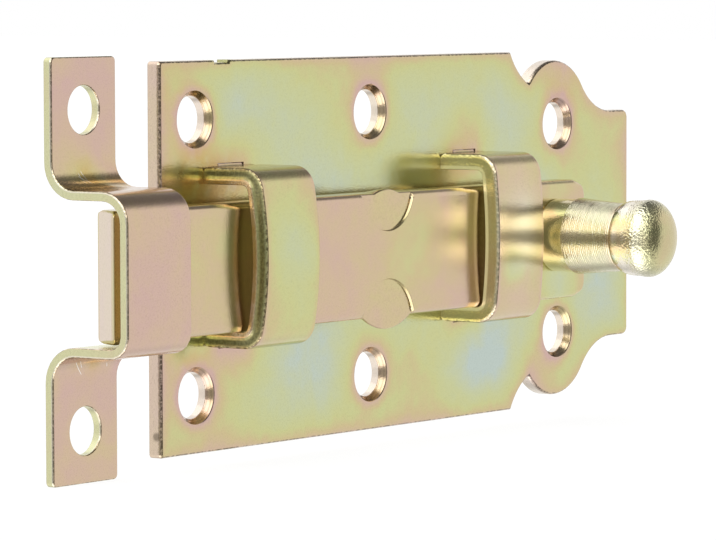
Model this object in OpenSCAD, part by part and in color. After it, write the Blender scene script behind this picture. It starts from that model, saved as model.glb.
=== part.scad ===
// Door bolt: a flat bar that slides in two riveted guides on a pressed plate, with a turned
// knob and a separate hat-shaped keeper. Millimetres, Z up, the door's face is the plane y = 0
// and the front of the bolt looks along -Y. The origin is the centre of the plate's back.

/* [Mounting plate] */
// Overall length of the plate
plate_l = 100; // [95:1:130]
// Height of the plate's full-height panel
plate_h = 45.6; // [42:0.1:60]
// Thickness of the plate's sheet
plate_t = 1.8; // [1.2:0.1:3]
// Length of the full-height panel, from the plate's keeper end
panel_l = 72.3; // [70:0.1:76]
// Radius of the panel's corners
panel_corner_r = 0.5; // [0.2:0.1:3]
// Height of the narrow tail behind the ears
tail_h = 29.7; // [22:0.1:34]
// Radius of the tail's corners
tail_corner_r = 1; // [0.3:0.1:5]
// Distance from the plate's keeper end to the centres of the ears
ear_x = 82.6; // [80:0.1:86]
// Distance between the centres of the two ears
ear_span = 27.2; // [24:0.1:32]
// Radius of each ear
ear_r = 8; // [7:0.1:9]
// Radius of the hollow sweep from each ear to the tail
sweep_r = 8.8; // [5:0.1:12]
// Radius of the hollow shoulder between the panel and each ear
shoulder_r = 9.3; // [8:0.1:10]
// Height of each shoulder's centre above the panel's edge
shoulder_rise = 4.3; // [3.5:0.1:5]
// Width of the small shear mark in the panel's top edge
nick_w = 2.6; // [1:0.1:5]
// Depth of the shear mark
nick_depth = 0.3; // [0.1:0.05:1]
// Distance from the plate's keeper end to the shear mark
nick_x = 11.8; // [9:0.1:30]

/* [Screw holes] */
// Diameter of the plate's screw holes
screw_hole_d = 5.4; // [3.5:0.1:6]
// Diameter of each countersink at the plate's face
sink_d = 6.8; // [6.2:0.1:8]
// Depth of each countersink
sink_depth = 0.8; // [0.4:0.1:1]
// Distance from the plate's keeper end to the first pair of holes
end_hole_x = 6.6; // [5:0.1:12]
// Distance from the plate's keeper end to the middle pair of holes
mid_hole_x = 41.4; // [30:0.1:48]
// Distance from the plate's keeper end to the holes in the ears
ear_hole_x = 83; // [81:0.1:85]
// Distance between the upper and lower holes of the first and middle pairs
hole_span = 32; // [30:0.1:36]
// Distance between the holes in the ears
ear_hole_span = 26.9; // [25:0.1:30]

/* [Guides] */
// Width of each guide along the bolt
guide_w = 10.5; // [6:0.1:14]
// Thickness of the guides' strap
guide_t = 1.8; // [1.2:0.1:2.4]
// Outer height of each guide
guide_h = 20.9; // [20:0.1:24]
// Height of the front guide's crown above the plate's face
front_guide_rise = 9.2; // [8.8:0.1:12]
// Height of the rear guide's crown above the plate's face
rear_guide_rise = 8.7; // [8.4:0.1:11]
// Inside radius of the guides' bends
guide_bend_r = 1; // [0.5:0.1:1.6]
// Radius of the slight crown of the front guide's face
front_crown_r = 45; // [30:1:120]
// Radius of the slight crown of the rear guide's face
rear_crown_r = 70; // [30:1:120]
// Distance from the plate's keeper end to the front guide
front_guide_x = 8.1; // [6:0.1:14]
// Distance from the plate's keeper end to the rear guide
rear_guide_x = 56.4; // [50:0.1:58]
// Width of the tenon that rivets each guide leg into the plate
tenon_w = 5; // [3:0.1:8]
// How far the plate's slots reach out past the guides' legs
slot_play = 0.35; // [0.1:0.05:0.8]
// Depth over which each tenon is upset at the plate's back to fill its slot
upset_depth = 1.5; // [0.4:0.1:1.5]
// Radius that rounds the outside of each guide's foot
foot_r = 0.7; // [0.3:0.1:1]

/* [Travel] */
// Travel from the shown place until the knob's collar meets the rear guide
home_travel = 1.9; // [0.5:0.1:4]
// Travel from the shown place until the lower stop meets the rear guide
draw_travel = 14.8; // [10:0.1:16]

/* [Bar] */
// Length of the bar behind the knob's axis
bar_tail_l = 6.6; // [5:0.1:10]
// Height of the bar
bar_h = 15; // [12:0.1:15.6]
// Thickness of the bar
bar_t = 4; // [3:0.1:4.6]
// How far the bar's nose stands out past the plate's keeper end
nose_reach = 16.2; // [12:0.1:18]
// How much shorter the bar's back is than its face at the bevelled nose
nose_bevel = 2.1; // [0:0.1:4]
// Radius of the nose's corners
nose_corner_r = 0.8; // [0.3:0.1:2]
// Radius of the tail's corners
bar_tail_r = 2.2; // [0.5:0.1:4]
// Radius of the bar's long edges
bar_edge_r = 0.9; // [0.2:0.1:1.2]
// Clearance between the bar's bottom edge and the guides' lower legs
bar_seat_gap = 0.16; // [0.1:0.01:0.4]
// Clearance between the bar's face and the inside of the guides' bends
bar_face_gap = 0.3; // [0.1:0.05:0.6]

/* [Stops] */
// Radius of the round punch that marked the stops
punch_r = 5.3; // [4:0.1:6.5]
// How far each punch's centre lies outside the bar's edge
punch_out = 0.7; // [0:0.1:1.5]
// Depth of the punch marks
punch_depth = 0.35; // [0.1:0.05:0.6]
// How far the upper stop swells above the bar's top edge
upper_swell = 0.5; // [0.3:0.1:0.9]
// Radius of the upper swelling's arc
upper_swell_r = 6.8; // [5:0.1:9]
// How far the lower stop swells below the bar's bottom edge
lower_swell = 1.6; // [1.2:0.1:2]
// Radius of the lower swelling's arc
lower_swell_r = 9.4; // [7:0.1:12]
// Depth behind the punch mark at which a swelling has died out
swell_depth = 3; // [1.5:0.1:3.5]

/* [Knob] */
// Height of the knob's axis above the bar's centre line
knob_rise = 0.65; // [0:0.05:1]
// Diameter of the smooth collar that stands on the bar
collar_d = 9.2; // [7:0.1:9.4]
// Length of the collar
collar_l = 3.7; // [2.5:0.1:6]
// Diameter at the foot of the turned neck
neck_foot_d = 9.6; // [8.6:0.1:10]
// Diameter at the top of the turned neck
neck_top_d = 8.4; // [6:0.1:8.8]
// Length of the turned neck
neck_l = 7.2; // [4:0.1:14]
// Number of turning grooves round the neck
neck_grooves = 14; // [4:1:16]
// Depth of each turning groove
groove_depth = 0.06; // [0.02:0.01:0.15]
// Diameter of the head
head_d = 9.7; // [9:0.1:14]
// Length of the head behind its dome, from the neck to the head's widest circle
head_back_l = 2.4; // [2:0.1:6]
// Length of the rounded shoulder at the head's foot
head_shoulder_l = 1.1; // [0.4:0.1:1.8]
// How much smaller the shoulder's diameter is than the head's
head_taper = 0.2; // [0:0.05:0.8]
// Height of the domed end
dome_h = 2.8; // [1:0.1:5]
// Width of the small step in the head's foot
head_step = 0.2; // [0.05:0.05:0.5]
// Diameter of the shank that is riveted through the bar
shank_d = 5; // [3:0.1:6]
// Diameter of the upset rivet head behind the bar
rivet_d = 7.4; // [6.2:0.1:8.4]
// Height of the upset rivet head
rivet_h = 0.9; // [0.4:0.1:1.2]

/* [Keeper] */
// Width of the keeper's strap
keeper_w = 11.5; // [8:0.1:16]
// Thickness of the keeper's sheet
keeper_t = 1.1; // [0.8:0.1:2]
// Overall height of the keeper, from tab end to tab end
keeper_h = 48; // [44:0.1:60]
// Gap between the keeper and the plate's keeper end
keeper_gap = 7.1; // [3:0.1:8]
// Clearance between the keeper's hat and the bar's face
keeper_face_gap = 2.8; // [0.5:0.1:4]
// Clearance above the bar inside the keeper's hat
keeper_top_gap = 1.2; // [0.4:0.1:3]
// Clearance below the bar inside the keeper's hat
keeper_seat_gap = 0.2; // [0.1:0.05:2]
// Radius of the bend from each tab into the hat, on its hollow side
tab_bend_r = 3; // [1:0.1:3.5]
// Outside radius of the hat's upper bend
hat_top_r = 3.6; // [2.2:0.1:4]
// Outside radius of the hat's lower bend
hat_bottom_r = 2.6; // [2.2:0.1:4]
// Radius of the tabs' corners
tab_corner_r = 1; // [0.3:0.1:3]
// Diameter of the keeper's two plain screw holes
keeper_hole_d = 5.5; // [3.5:0.1:6]
// Distance between the keeper's two screw holes
keeper_hole_span = 36.1; // [34:0.1:38]

/* [Hidden] */

zinc = [0.80, 0.74, 0.56];
zinc_pale = [0.78, 0.78, 0.62];
smooth = 96;
dome_steps = 14;
// Drills and punches run this far past the faces that they cut
past = 1;

// Places along the plate, measured from the plate's centre
plate_end = -plate_l / 2;
ear_centre = plate_end + ear_x;
front_guide_end = plate_end + front_guide_x;
rear_guide_end = plate_end + rear_guide_x;

// The sweep touches both the ear's circle and the tail's edge
sweep_z = tail_h / 2 + sweep_r;
sweep_offset = sqrt(pow(ear_r + sweep_r, 2) - pow(sweep_z - ear_span / 2, 2));
sweep_centre = ear_centre + sweep_offset;
sweep_touch_z = ear_span / 2 + (sweep_z - ear_span / 2) * ear_r / (ear_r + sweep_r);

// The shoulder's circle passes through the panel's corner
shoulder_centre = plate_end + panel_l + sqrt(pow(shoulder_r, 2) - pow(shoulder_rise, 2));
shoulder_z = plate_h / 2 + shoulder_rise;

// Section of the guides: the crown's circle and the bends' circles touch inside each other
guide_outer_r = guide_bend_r + guide_t;
bend_z = guide_h / 2 - guide_outer_r;
wedge_stretch = 1.3;

// Depth of the bends' centres in front of the door, for a guide of this rise and crown
function bend_depth(rise, crown_r) =
    plate_t + rise - crown_r + sqrt(pow(crown_r - guide_outer_r, 2) - pow(bend_z, 2));

// Where the bar lies: behind the shallower guide's bends, and low in both guides
front_bend_y = bend_depth(front_guide_rise, front_crown_r);
rear_bend_y = bend_depth(rear_guide_rise, rear_crown_r);
bend_relief = max(0, guide_bend_r - bar_edge_r) * (1 - sqrt(0.5));
bar_face = min(front_bend_y, rear_bend_y) + guide_bend_r - bend_relief - bar_face_gap;
bar_back = bar_face - bar_t;
bar_bottom = -(guide_h / 2 - guide_t) + bend_relief + bar_seat_gap;
bar_top = bar_bottom + bar_h;
bar_mid = (bar_bottom + bar_top) / 2;
nose = plate_end - nose_reach;

// The lower swelling reaches this far along the bar where the guides' lower legs stop it
stop_rise = guide_h / 2 - guide_t + bar_bottom + lower_swell_r - lower_swell;
stop_reach = sqrt(pow(lower_swell_r, 2) - pow(stop_rise, 2));
stop_centre = rear_guide_end - draw_travel - stop_reach;

// The knob's axis, and the radii of its head's foot and of the band behind the dome
knob_centre = rear_guide_end + guide_w + home_travel + collar_d / 2;
knob_z = bar_mid + knob_rise;
bar_end = knob_centre + bar_tail_l;
head_foot_r = neck_top_d / 2 + head_step;
head_band_r = (head_d - head_taper) / 2;

// The keeper's hat clears the bar on every side
keeper_right = plate_end - keeper_gap;
keeper_left = keeper_right - keeper_w;
hat_depth = bar_face + keeper_face_gap + keeper_t;
hat_top = bar_top + keeper_top_gap + keeper_t;
hat_bottom = bar_bottom - keeper_seat_gap - keeper_t;
keeper_mid = (hat_top + hat_bottom) / 2;
tab_outer_r = tab_bend_r + keeper_t;

// Turns a drawing of the front view (x, z) into a sheet from y = -front to y = -back
module front_view(front, back) {
    translate([0, -back, 0])
        rotate([90, 0, 0])
            linear_extrude(front - back)
                children();
}

// Turns a drawing of the section (depth, z) into a strap from x = left on along X
module strap(left, width) {
    translate([left, 0, 0])
        rotate([90, 0, 90])
            linear_extrude(width)
                mirror([1, 0])
                    children();
}

// A cylinder that looks out of the door along -Y, from y = -from to y = -to
module pin(x, z, from, to, r1, r2) {
    translate([x, -from, z])
        rotate([90, 0, 0])
            cylinder(h = to - from, r1 = r1, r2 = r2, $fn = smooth);
}

module rounded_box(x0, x1, z0, z1, r) {
    translate([x0 + r, z0]) square([x1 - x0 - 2 * r, z1 - z0]);
    translate([x0, z0 + r]) square([x1 - x0, z1 - z0 - 2 * r]);
    for (x = [x0 + r, x1 - r], z = [z0 + r, z1 - r])
        translate([x, z]) circle(r = r, $fn = smooth);
}

// Front view of the plate: panel, ears with their hollow shoulders and sweeps, and tail
module plate_outline() {
    difference() {
        rounded_box(plate_end, ear_centre, -plate_h / 2, plate_h / 2, panel_corner_r);
        for (side = [-1, 1])
            translate([shoulder_centre, side * shoulder_z]) circle(r = shoulder_r, $fn = smooth);
    }
    for (side = [-1, 1]) {
        translate([ear_centre, side * ear_span / 2]) circle(r = ear_r, $fn = smooth);
        difference() {
            translate([ear_centre, side > 0 ? 0 : -sweep_touch_z])
                square([sweep_offset, sweep_touch_z]);
            translate([sweep_centre, side * sweep_z]) circle(r = sweep_r, $fn = smooth);
        }
    }
    rounded_box(ear_centre - ear_r / 2, plate_end + plate_l, -tail_h / 2, tail_h / 2, tail_corner_r);
}

// One countersunk screw hole through the plate
module sunk_hole(x, z) {
    pin(x, z, -past, plate_t + past, screw_hole_d / 2, screw_hole_d / 2);
    pin(x, z, plate_t - sink_depth, plate_t, screw_hole_d / 2, sink_d / 2);
    pin(x, z, plate_t, plate_t + past, sink_d / 2, sink_d / 2);
}

// A pair of blocks where a guide's legs pass the plate, grown outwards past the legs
module leg_pair(left, depth, grow) {
    for (side = [-1, 1])
        translate([
            left + (guide_w - tenon_w) / 2, -depth,
            side > 0 ? guide_h / 2 - guide_t : -guide_h / 2 - grow
        ])
            cube([tenon_w, depth, guide_t + grow]);
}

// The slots right through the plate for a guide's tenons
module slots(left) {
    leg_pair(left, plate_t, slot_play);
}

// A guide's tenons, upset at the back
module tenons(left) {
    leg_pair(left, plate_t, 0);
    leg_pair(left, upset_depth, slot_play);
}

module mounting_plate() {
    color(zinc_pale)
        difference() {
            front_view(plate_t, 0) plate_outline();
            for (side = [-1, 1]) {
                sunk_hole(plate_end + end_hole_x, side * hole_span / 2);
                sunk_hole(plate_end + mid_hole_x, side * hole_span / 2);
                sunk_hole(plate_end + ear_hole_x, side * ear_hole_span / 2);
            }
            slots(front_guide_end);
            slots(rear_guide_end);
            translate([plate_end + nick_x - nick_w / 2, -plate_t - past, plate_h / 2 - nick_depth])
                cube([nick_w, plate_t + 2 * past, nick_depth + past]);
        }
}

// Section of a guide's outside, or with inset = guide_t of its inside
module guide_profile(bend_y, crown_y, crown_r, inset) {
    half = guide_h / 2 - inset;
    reach = crown_y + wedge_stretch * (bend_y - crown_y);
    translate([0, -half]) square([bend_y, 2 * half]);
    for (side = [-1, 1])
        translate([bend_y, side * bend_z]) circle(r = guide_outer_r - inset, $fn = smooth);
    intersection() {
        translate([crown_y, 0]) circle(r = crown_r - inset, $fn = 4 * smooth);
        polygon([
            [bend_y, -bend_z],
            [reach, -wedge_stretch * bend_z],
            [reach, wedge_stretch * bend_z],
            [bend_y, bend_z]
        ]);
    }
}

// What a rounded foot leaves off the outside of a guide's leg, at z = half and the plate's face
module foot_relief(half) {
    difference() {
        translate([plate_t, half - foot_r]) square([foot_r, foot_r + past]);
        translate([plate_t + foot_r, half - foot_r]) circle(r = foot_r, $fn = smooth);
    }
}

// A strap at x = left whose bends lie at bend_y and whose crown stands by rise over the plate
module guide(left, rise, bend_y, crown_r) {
    crown_y = plate_t + rise - crown_r;
    strap(left, guide_w)
        difference() {
            guide_profile(bend_y, crown_y, crown_r, 0);
            guide_profile(bend_y, crown_y, crown_r, guide_t);
            translate([-past, -guide_h]) square([past + plate_t, 2 * guide_h]);
            foot_relief(guide_h / 2);
            mirror([0, 1]) foot_relief(guide_h / 2);
        }
    tenons(left);
}

module front_guide() {
    color(zinc)
        guide(front_guide_end, front_guide_rise, front_bend_y, front_crown_r);
}

module rear_guide() {
    color(zinc)
        guide(rear_guide_end, rear_guide_rise, rear_bend_y, rear_crown_r);
}

// A swelling on the bar's edge, widest at the punch mark's floor and gone swell_depth behind it
module swell(edge, side, height, r) {
    front = bar_face - punch_depth;
    intersection() {
        pin(stop_centre, edge + side * (height - r), front - swell_depth, front, r - height, r);
        translate([stop_centre - r, -front, side > 0 ? bar_mid : bar_mid - bar_h])
            cube([2 * r, swell_depth, bar_h]);
    }
}

// The bar's plain length: a rounded section cut to the front view's rounded corners
module bar_blank() {
    intersection() {
        strap(nose, bar_end - nose)
            rounded_box(bar_back, bar_face, bar_bottom, bar_top, bar_edge_r);
        front_view(bar_face + past, bar_back - past)
            union() {
                rounded_box(nose, bar_end - bar_tail_r, bar_bottom, bar_top, nose_corner_r);
                rounded_box(bar_end - bar_h / 2, bar_end, bar_bottom, bar_top, bar_tail_r);
            }
    }
}

// The wedge that the bevelled nose leaves off the bar's back
module nose_cut() {
    translate([0, 0, bar_bottom - past])
        linear_extrude(bar_h + 2 * past)
            polygon([
                [nose, -bar_face],
                [nose + nose_bevel, -bar_back],
                [nose + nose_bevel, -bar_back + past],
                [nose - past, -bar_back + past],
                [nose - past, -bar_face]
            ]);
}

module bolt_bar() {
    color(zinc)
        difference() {
            union() {
                bar_blank();
                swell(bar_top, 1, upper_swell, upper_swell_r);
                swell(bar_bottom, -1, lower_swell, lower_swell_r);
            }
            if (nose_bevel > 0) nose_cut();
            for (z = [bar_top + punch_out, bar_bottom - punch_out])
                pin(stop_centre, z, bar_face - punch_depth, bar_face + past, punch_r, punch_r);
            pin(knob_centre, knob_z, bar_back - past, bar_face + past, shank_d / 2, shank_d / 2);
        }
}

// Half outline of the knob's neck with its turning grooves, from the collar to the head
function neck_points() = [
    for (i = [0 : 2 * neck_grooves])
        let (u = i / (2 * neck_grooves))
        [
            (neck_foot_d + (neck_top_d - neck_foot_d) * u) / 2 - (i % 2) * groove_depth,
            collar_l + neck_l * u
        ]
];

// Half outline of the head: a rounded shoulder, a short conical band and a high round dome
function head_points() = concat(
    [
        for (i = [0 : dome_steps])
            let (a = 90 * i / dome_steps)
            [
                head_foot_r + (head_band_r - head_foot_r) * sin(a),
                collar_l + neck_l + head_shoulder_l * (1 - cos(a))
            ]
    ],
    [
        for (i = [0 : dome_steps])
            let (a = 90 * i / dome_steps)
            [head_d / 2 * cos(a), collar_l + neck_l + head_back_l + dome_h * sin(a)]
    ]
);

module knob() {
    outline = concat([[0, 0], [collar_d / 2, 0], [collar_d / 2, collar_l]], neck_points(), head_points());
    color(zinc) {
        translate([knob_centre, -bar_face, knob_z])
            rotate([90, 0, 0])
                rotate_extrude($fn = smooth)
                    polygon(outline);
        pin(knob_centre, knob_z, bar_back, bar_face, shank_d / 2, shank_d / 2);
        pin(knob_centre, knob_z, bar_back - rivet_h, bar_back, shank_d / 2, rivet_d / 2);
    }
}

// A quarter of a bent sheet, whose outside turns towards +x and +y
module bend(inner) {
    intersection() {
        difference() {
            circle(r = inner + keeper_t, $fn = smooth);
            circle(r = inner, $fn = smooth);
        }
        square(inner + keeper_t);
    }
}

// Section of the keeper above its hat's front: edge is the hat's top, tab_end the tab's end
module keeper_side(edge, hat_r, tab_end) {
    translate([hat_depth - hat_r, edge - hat_r]) bend(hat_r - keeper_t);
    translate([tab_outer_r, edge - keeper_t])
        square([hat_depth - hat_r - tab_outer_r, keeper_t]);
    translate([tab_outer_r, edge + tab_bend_r])
        rotate(180)
            bend(tab_bend_r);
    translate([0, edge + tab_bend_r]) square([keeper_t, tab_end - edge - tab_bend_r]);
}

module keeper_section() {
    translate([hat_depth - keeper_t, hat_bottom + hat_bottom_r])
        square([keeper_t, hat_top - hat_top_r - hat_bottom - hat_bottom_r]);
    keeper_side(hat_top, hat_top_r, keeper_mid + keeper_h / 2);
    mirror([0, 1])
        keeper_side(-hat_bottom, hat_bottom_r, keeper_h / 2 - keeper_mid);
}

module keeper() {
    color(zinc)
        difference() {
            intersection() {
                strap(keeper_left, keeper_w) keeper_section();
                front_view(hat_depth + past, -past)
                    rounded_box(
                        keeper_left, keeper_right,
                        keeper_mid - keeper_h / 2, keeper_mid + keeper_h / 2, tab_corner_r
                    );
            }
            for (side = [-1, 1])
                pin(
                    (keeper_left + keeper_right) / 2, keeper_mid + side * keeper_hole_span / 2,
                    -past, keeper_t + past, keeper_hole_d / 2, keeper_hole_d / 2
                );
        }
}

mounting_plate();
front_guide();
rear_guide();
bolt_bar();
knob();
keeper();
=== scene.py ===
import math

import bpy
import numpy as np
from bpy.props import FloatProperty, FloatVectorProperty, IntProperty, PointerProperty
from bpy.types import Operator, Panel, PropertyGroup
from mathutils import Matrix, Vector
from mathutils.geometry import delaunay_2d_cdt


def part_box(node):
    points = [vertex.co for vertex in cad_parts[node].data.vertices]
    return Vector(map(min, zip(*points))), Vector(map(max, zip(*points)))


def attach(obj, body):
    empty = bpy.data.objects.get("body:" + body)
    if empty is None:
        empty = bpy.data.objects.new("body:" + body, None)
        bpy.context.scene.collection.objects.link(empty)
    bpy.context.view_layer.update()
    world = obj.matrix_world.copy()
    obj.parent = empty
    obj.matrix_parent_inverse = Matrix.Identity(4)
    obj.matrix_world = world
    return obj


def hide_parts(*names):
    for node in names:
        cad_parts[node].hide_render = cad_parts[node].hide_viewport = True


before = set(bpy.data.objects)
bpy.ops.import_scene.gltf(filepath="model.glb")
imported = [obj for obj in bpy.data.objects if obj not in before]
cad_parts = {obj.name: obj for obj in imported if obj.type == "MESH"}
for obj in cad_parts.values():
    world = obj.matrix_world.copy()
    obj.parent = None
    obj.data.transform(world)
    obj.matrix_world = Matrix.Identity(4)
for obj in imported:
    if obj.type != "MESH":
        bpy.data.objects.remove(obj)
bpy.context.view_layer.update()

bl_info = {
    "name": "Flat door bolt",
    "version": (1, 0, 0),
    "blender": (4, 5, 0),
    "location": "3D View > Sidebar > Door bolt",
    "description": "Builds a flat sliding door bolt in yellow passivated zinc, piece by piece",
    "category": "Mesh",
}

MM = 0.001


def length(name, text, mm):
    return FloatProperty(name=name, description=text, default=mm * MM, unit="LENGTH", precision=6)


def share(name, text, value):
    return FloatProperty(name=name, description=text, default=value, min=0.0, max=4.0)


def tint(name, text, red, green, blue):
    """A colour given as the 8-bit values it shows as, kept as linear values."""
    values = [((c / 255 + 0.055) / 1.055) ** 2.4 for c in (red, green, blue)]
    return FloatVectorProperty(name=name, description=text, default=values, subtype="COLOR", min=0.0, max=1.0)


# Sizes


class PlateSettings(PropertyGroup):
    """Sizes of the blanked back plate."""

    long: length("Length", "Overall length of the plate", 100)
    high: length("Height", "Height of the full-height panel", 45.6)
    thick: length("Thickness", "Thickness of the sheet", 1.8)
    panel: length("Panel length", "Length of the full-height panel from the keeper end", 72.3)
    panel_corner: length("Panel corner", "Radius of the panel's corners", 0.5)
    tail_high: length("Tail height", "Height of the narrow tail", 29.7)
    tail_corner: length("Tail corner", "Radius of the tail's corners", 1.0)
    ear_x: length("Ear distance", "From the keeper end to the ears' centres", 82.6)
    ear_span: length("Ear span", "Between the centres of the two ears", 27.2)
    ear_radius: length("Ear radius", "Radius of each ear", 8.0)
    sweep_radius: length("Sweep radius", "Hollow radius from each ear to the tail", 8.8)
    shoulder_radius: length("Shoulder radius", "Hollow radius between panel and ear", 9.3)
    shoulder_rise: length("Shoulder rise", "Height of the shoulder's centre above the panel", 4.3)
    nick_x: length("Nick distance", "From the keeper end to the shear mark", 11.8)
    nick_wide: length("Nick width", "Width of the shear mark", 2.6)
    nick_deep: length("Nick depth", "Depth of the shear mark", 0.3)
    hole: length("Screw hole", "Diameter of the screw holes", 5.4)
    sink: length("Countersink", "Diameter of the countersinks at the face", 6.8)
    sink_deep: length("Countersink depth", "Depth of the countersinks", 0.8)
    end_hole_x: length("First holes", "From the keeper end to the first pair of holes", 6.6)
    mid_hole_x: length("Middle holes", "From the keeper end to the middle pair of holes", 41.4)
    ear_hole_x: length("Ear holes", "From the keeper end to the holes in the ears", 83.0)
    hole_span: length("Hole span", "Between upper and lower holes of the panel", 32.0)
    ear_hole_span: length("Ear hole span", "Between the holes in the ears", 26.9)
    roll_in: length("Roll-over width", "How far the face's rim is rolled over by the punch", 0.34)
    roll_deep: length("Roll-over depth", "Depth of the rolled rim", 0.5)
    burr: length("Back edge", "Rounding of the back's rim", 0.08)


class GuideSettings(PropertyGroup):
    """Sizes of the two bent guides."""

    wide: length("Width", "Width of the strap along the bolt", 10.5)
    thick: length("Thickness", "Thickness of the strap", 1.95)
    high: length("Height", "Outer height of each guide", 20.9)
    bend: length("Bend radius", "Inside radius of the bends", 0.85)
    front_x: length("Front guide", "From the plate's keeper end to the front guide", 8.1)
    front_rise: length("Front rise", "Height of the front guide's crown above the plate", 9.2)
    front_crown: length("Front crown", "Radius of the front guide's crown", 45)
    rear_x: length("Rear guide", "From the plate's keeper end to the rear guide", 56.4)
    rear_rise: length("Rear rise", "Height of the rear guide's crown above the plate", 8.7)
    rear_crown: length("Rear crown", "Radius of the rear guide's crown", 70)
    tenon: length("Tenon width", "Width of the tenons that rivet the legs", 5.0)
    play: length("Slot play", "How far the slots reach out past the legs", 0.35)
    foot: length("Foot radius", "Rounding outside each foot", 0.7)
    rim: length("Edge width", "How far the strap's outer edges are rolled over", 0.34)
    rim_deep: length("Edge depth", "Depth of the strap's rolled edges", 0.55)
    stop_way: length("Stop distance", "From the rear guide to the middle of the bar's stops", 19.753)
    lean: share("Lean", "How far the rear guide's cuts lean, by thickness", 0.05)
    front_burr: share("Front burr", "How far the front guide's cuts stand out inside, by thickness", 0.1)
    rear_burr: share("Rear burr", "How far the rear guide's cuts stand out inside, by thickness", 0.02)


class BarSettings(PropertyGroup):
    """Sizes of the sliding bar and its stops."""

    thick: length("Thickness", "Thickness of the bar", 4.0)
    high: length("Height", "Height of the bar", 15.0)
    bevel: length("Nose bevel", "How much shorter the back is than the face at the nose", 2.1)
    nose_corner: length("Nose corner", "Radius of the nose's corners", 0.8)
    tail_corner: length("Tail corner", "Radius of the tail's corners", 2.2)
    edge: length("Edge radius", "Radius of the long edges", 0.9)
    rim: length("End rim", "Rounding of the rims at nose and tail", 0.25)
    punch: length("Punch radius", "Radius of the round punch marks", 5.3)
    punch_out: length("Punch offset", "How far each punch centre lies outside the edge", 0.7)
    punch_deep: length("Punch depth", "Depth of the punch marks", 0.35)
    swell_deep: length("Swell depth", "Depth behind the mark at which a swelling dies out", 3.0)
    upper_swell: length("Upper swell", "How far the upper stop stands out", 0.5)
    upper_radius: length("Upper swell radius", "Radius of the upper stop's arc", 6.8)
    lower_swell: length("Lower swell", "How far the lower stop stands out", 1.6)
    lower_radius: length("Lower swell radius", "Radius of the lower stop's arc", 8.62)
    shank: length("Shank hole", "Diameter of the hole for the knob's shank", 5.0)


class KnobSettings(PropertyGroup):
    """Sizes of the turned knob."""

    rise: length("Axis height", "Height of the knob's axis above the bar's centre line", 0.65)
    collar: length("Collar", "Diameter of the smooth collar", 9.2)
    collar_long: length("Collar length", "Length of the smooth collar", 3.7)
    neck_foot: length("Neck foot", "Diameter at the foot of the neck", 9.6)
    neck_top: length("Neck top", "Diameter at the top of the neck", 8.4)
    neck_long: length("Neck length", "Length of the neck", 6.8)
    groove: length("Groove depth", "Depth of the turning grooves", 0.010)
    grooves: IntProperty(name="Grooves", description="Number of turning grooves", default=26, min=4)
    head: length("Head", "Diameter of the head", 9.7)
    head_back: length("Head length", "Length of the head behind its dome", 3.35)
    shoulder: length("Head shoulder", "Length of the rounded shoulder at the head's foot", 2.3)
    taper: length("Head taper", "How much smaller the shoulder's diameter is", 0.2)
    dome: length("Dome", "Height of the domed end", 2.8)
    step: length("Head step", "Width of the step in the head's foot", 0.06)
    rivet: length("Rivet", "Diameter of the upset rivet head", 7.4)
    rivet_high: length("Rivet height", "Height of the upset rivet head", 0.9)
    around: IntProperty(name="Segments", description="Points round the knob", default=192, min=24)


class KeeperSettings(PropertyGroup):
    """Sizes of the bent keeper. Its width and height are its CAD body's."""

    thick: length("Thickness", "Thickness of the sheet", 1.1)
    tab_bend: length("Tab bend", "Hollow radius from each tab into the hat", 3.0)
    hat_top: length("Upper bend", "Outside radius of the hat's upper bend", 3.6)
    hat_bottom: length("Lower bend", "Outside radius of the hat's lower bend", 2.6)
    corner: length("Tab corner", "Radius of the tabs' corners", 0.6)
    hole: length("Hole", "Diameter of the two plain holes", 5.5)
    hole_span: length("Hole span", "Between the two holes", 36.1)
    top_gap: length("Top gap", "Clearance above the bar", 1.2)
    seat_gap: length("Seat gap", "Clearance below the bar", 0.2)
    rim: length("Edge radius", "Rounding of the face's rim", 0.22)


class FinishSettings(PropertyGroup):
    """The passivated zinc: the film's colours from thin to thick, and the surface's grain."""

    film_0: tint("Film, thinnest", "Colour where the film is thinnest", 207, 175, 165)
    film_1: tint("Film, thin", "Colour where the film is thin", 209, 183, 155)
    film_2: tint("Film, low middle", "Colour below the middle", 207, 190, 144)
    film_3: tint("Film, middle", "Colour at the middle", 203, 203, 145)
    film_4: tint("Film, high middle", "Colour above the middle", 200, 204, 156)
    film_5: tint("Film, thick", "Colour where the film is thick", 196, 203, 172)
    film_6: tint("Film, thickest", "Colour where the film is thickest", 189, 202, 194)
    rough: share("Roughness", "Mean roughness of the zinc", 0.17)
    speckle: length("Speckle size", "Size of the zinc's fine grain", 0.22)
    speckle_high: length("Speckle height", "Height of the fine grain", 0.011)
    pits: length("Pit size", "Size of the coarser grain on rims, cut edges and the knob's head", 0.32)
    pits_high: length("Pit height", "Height of the coarser grain on the knob's head", 0.148)
    peel: length("Ripple size", "Size of the soft ripple in the plating", 1.6)
    peel_high: length("Ripple height", "Height of the soft ripple", 0.006)
    cloud: length("Cloud size", "Size of the film's clouds", 9.0)
    cloud_share: share("Cloud strength", "How far the clouds shift the film", 0.5)


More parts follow.
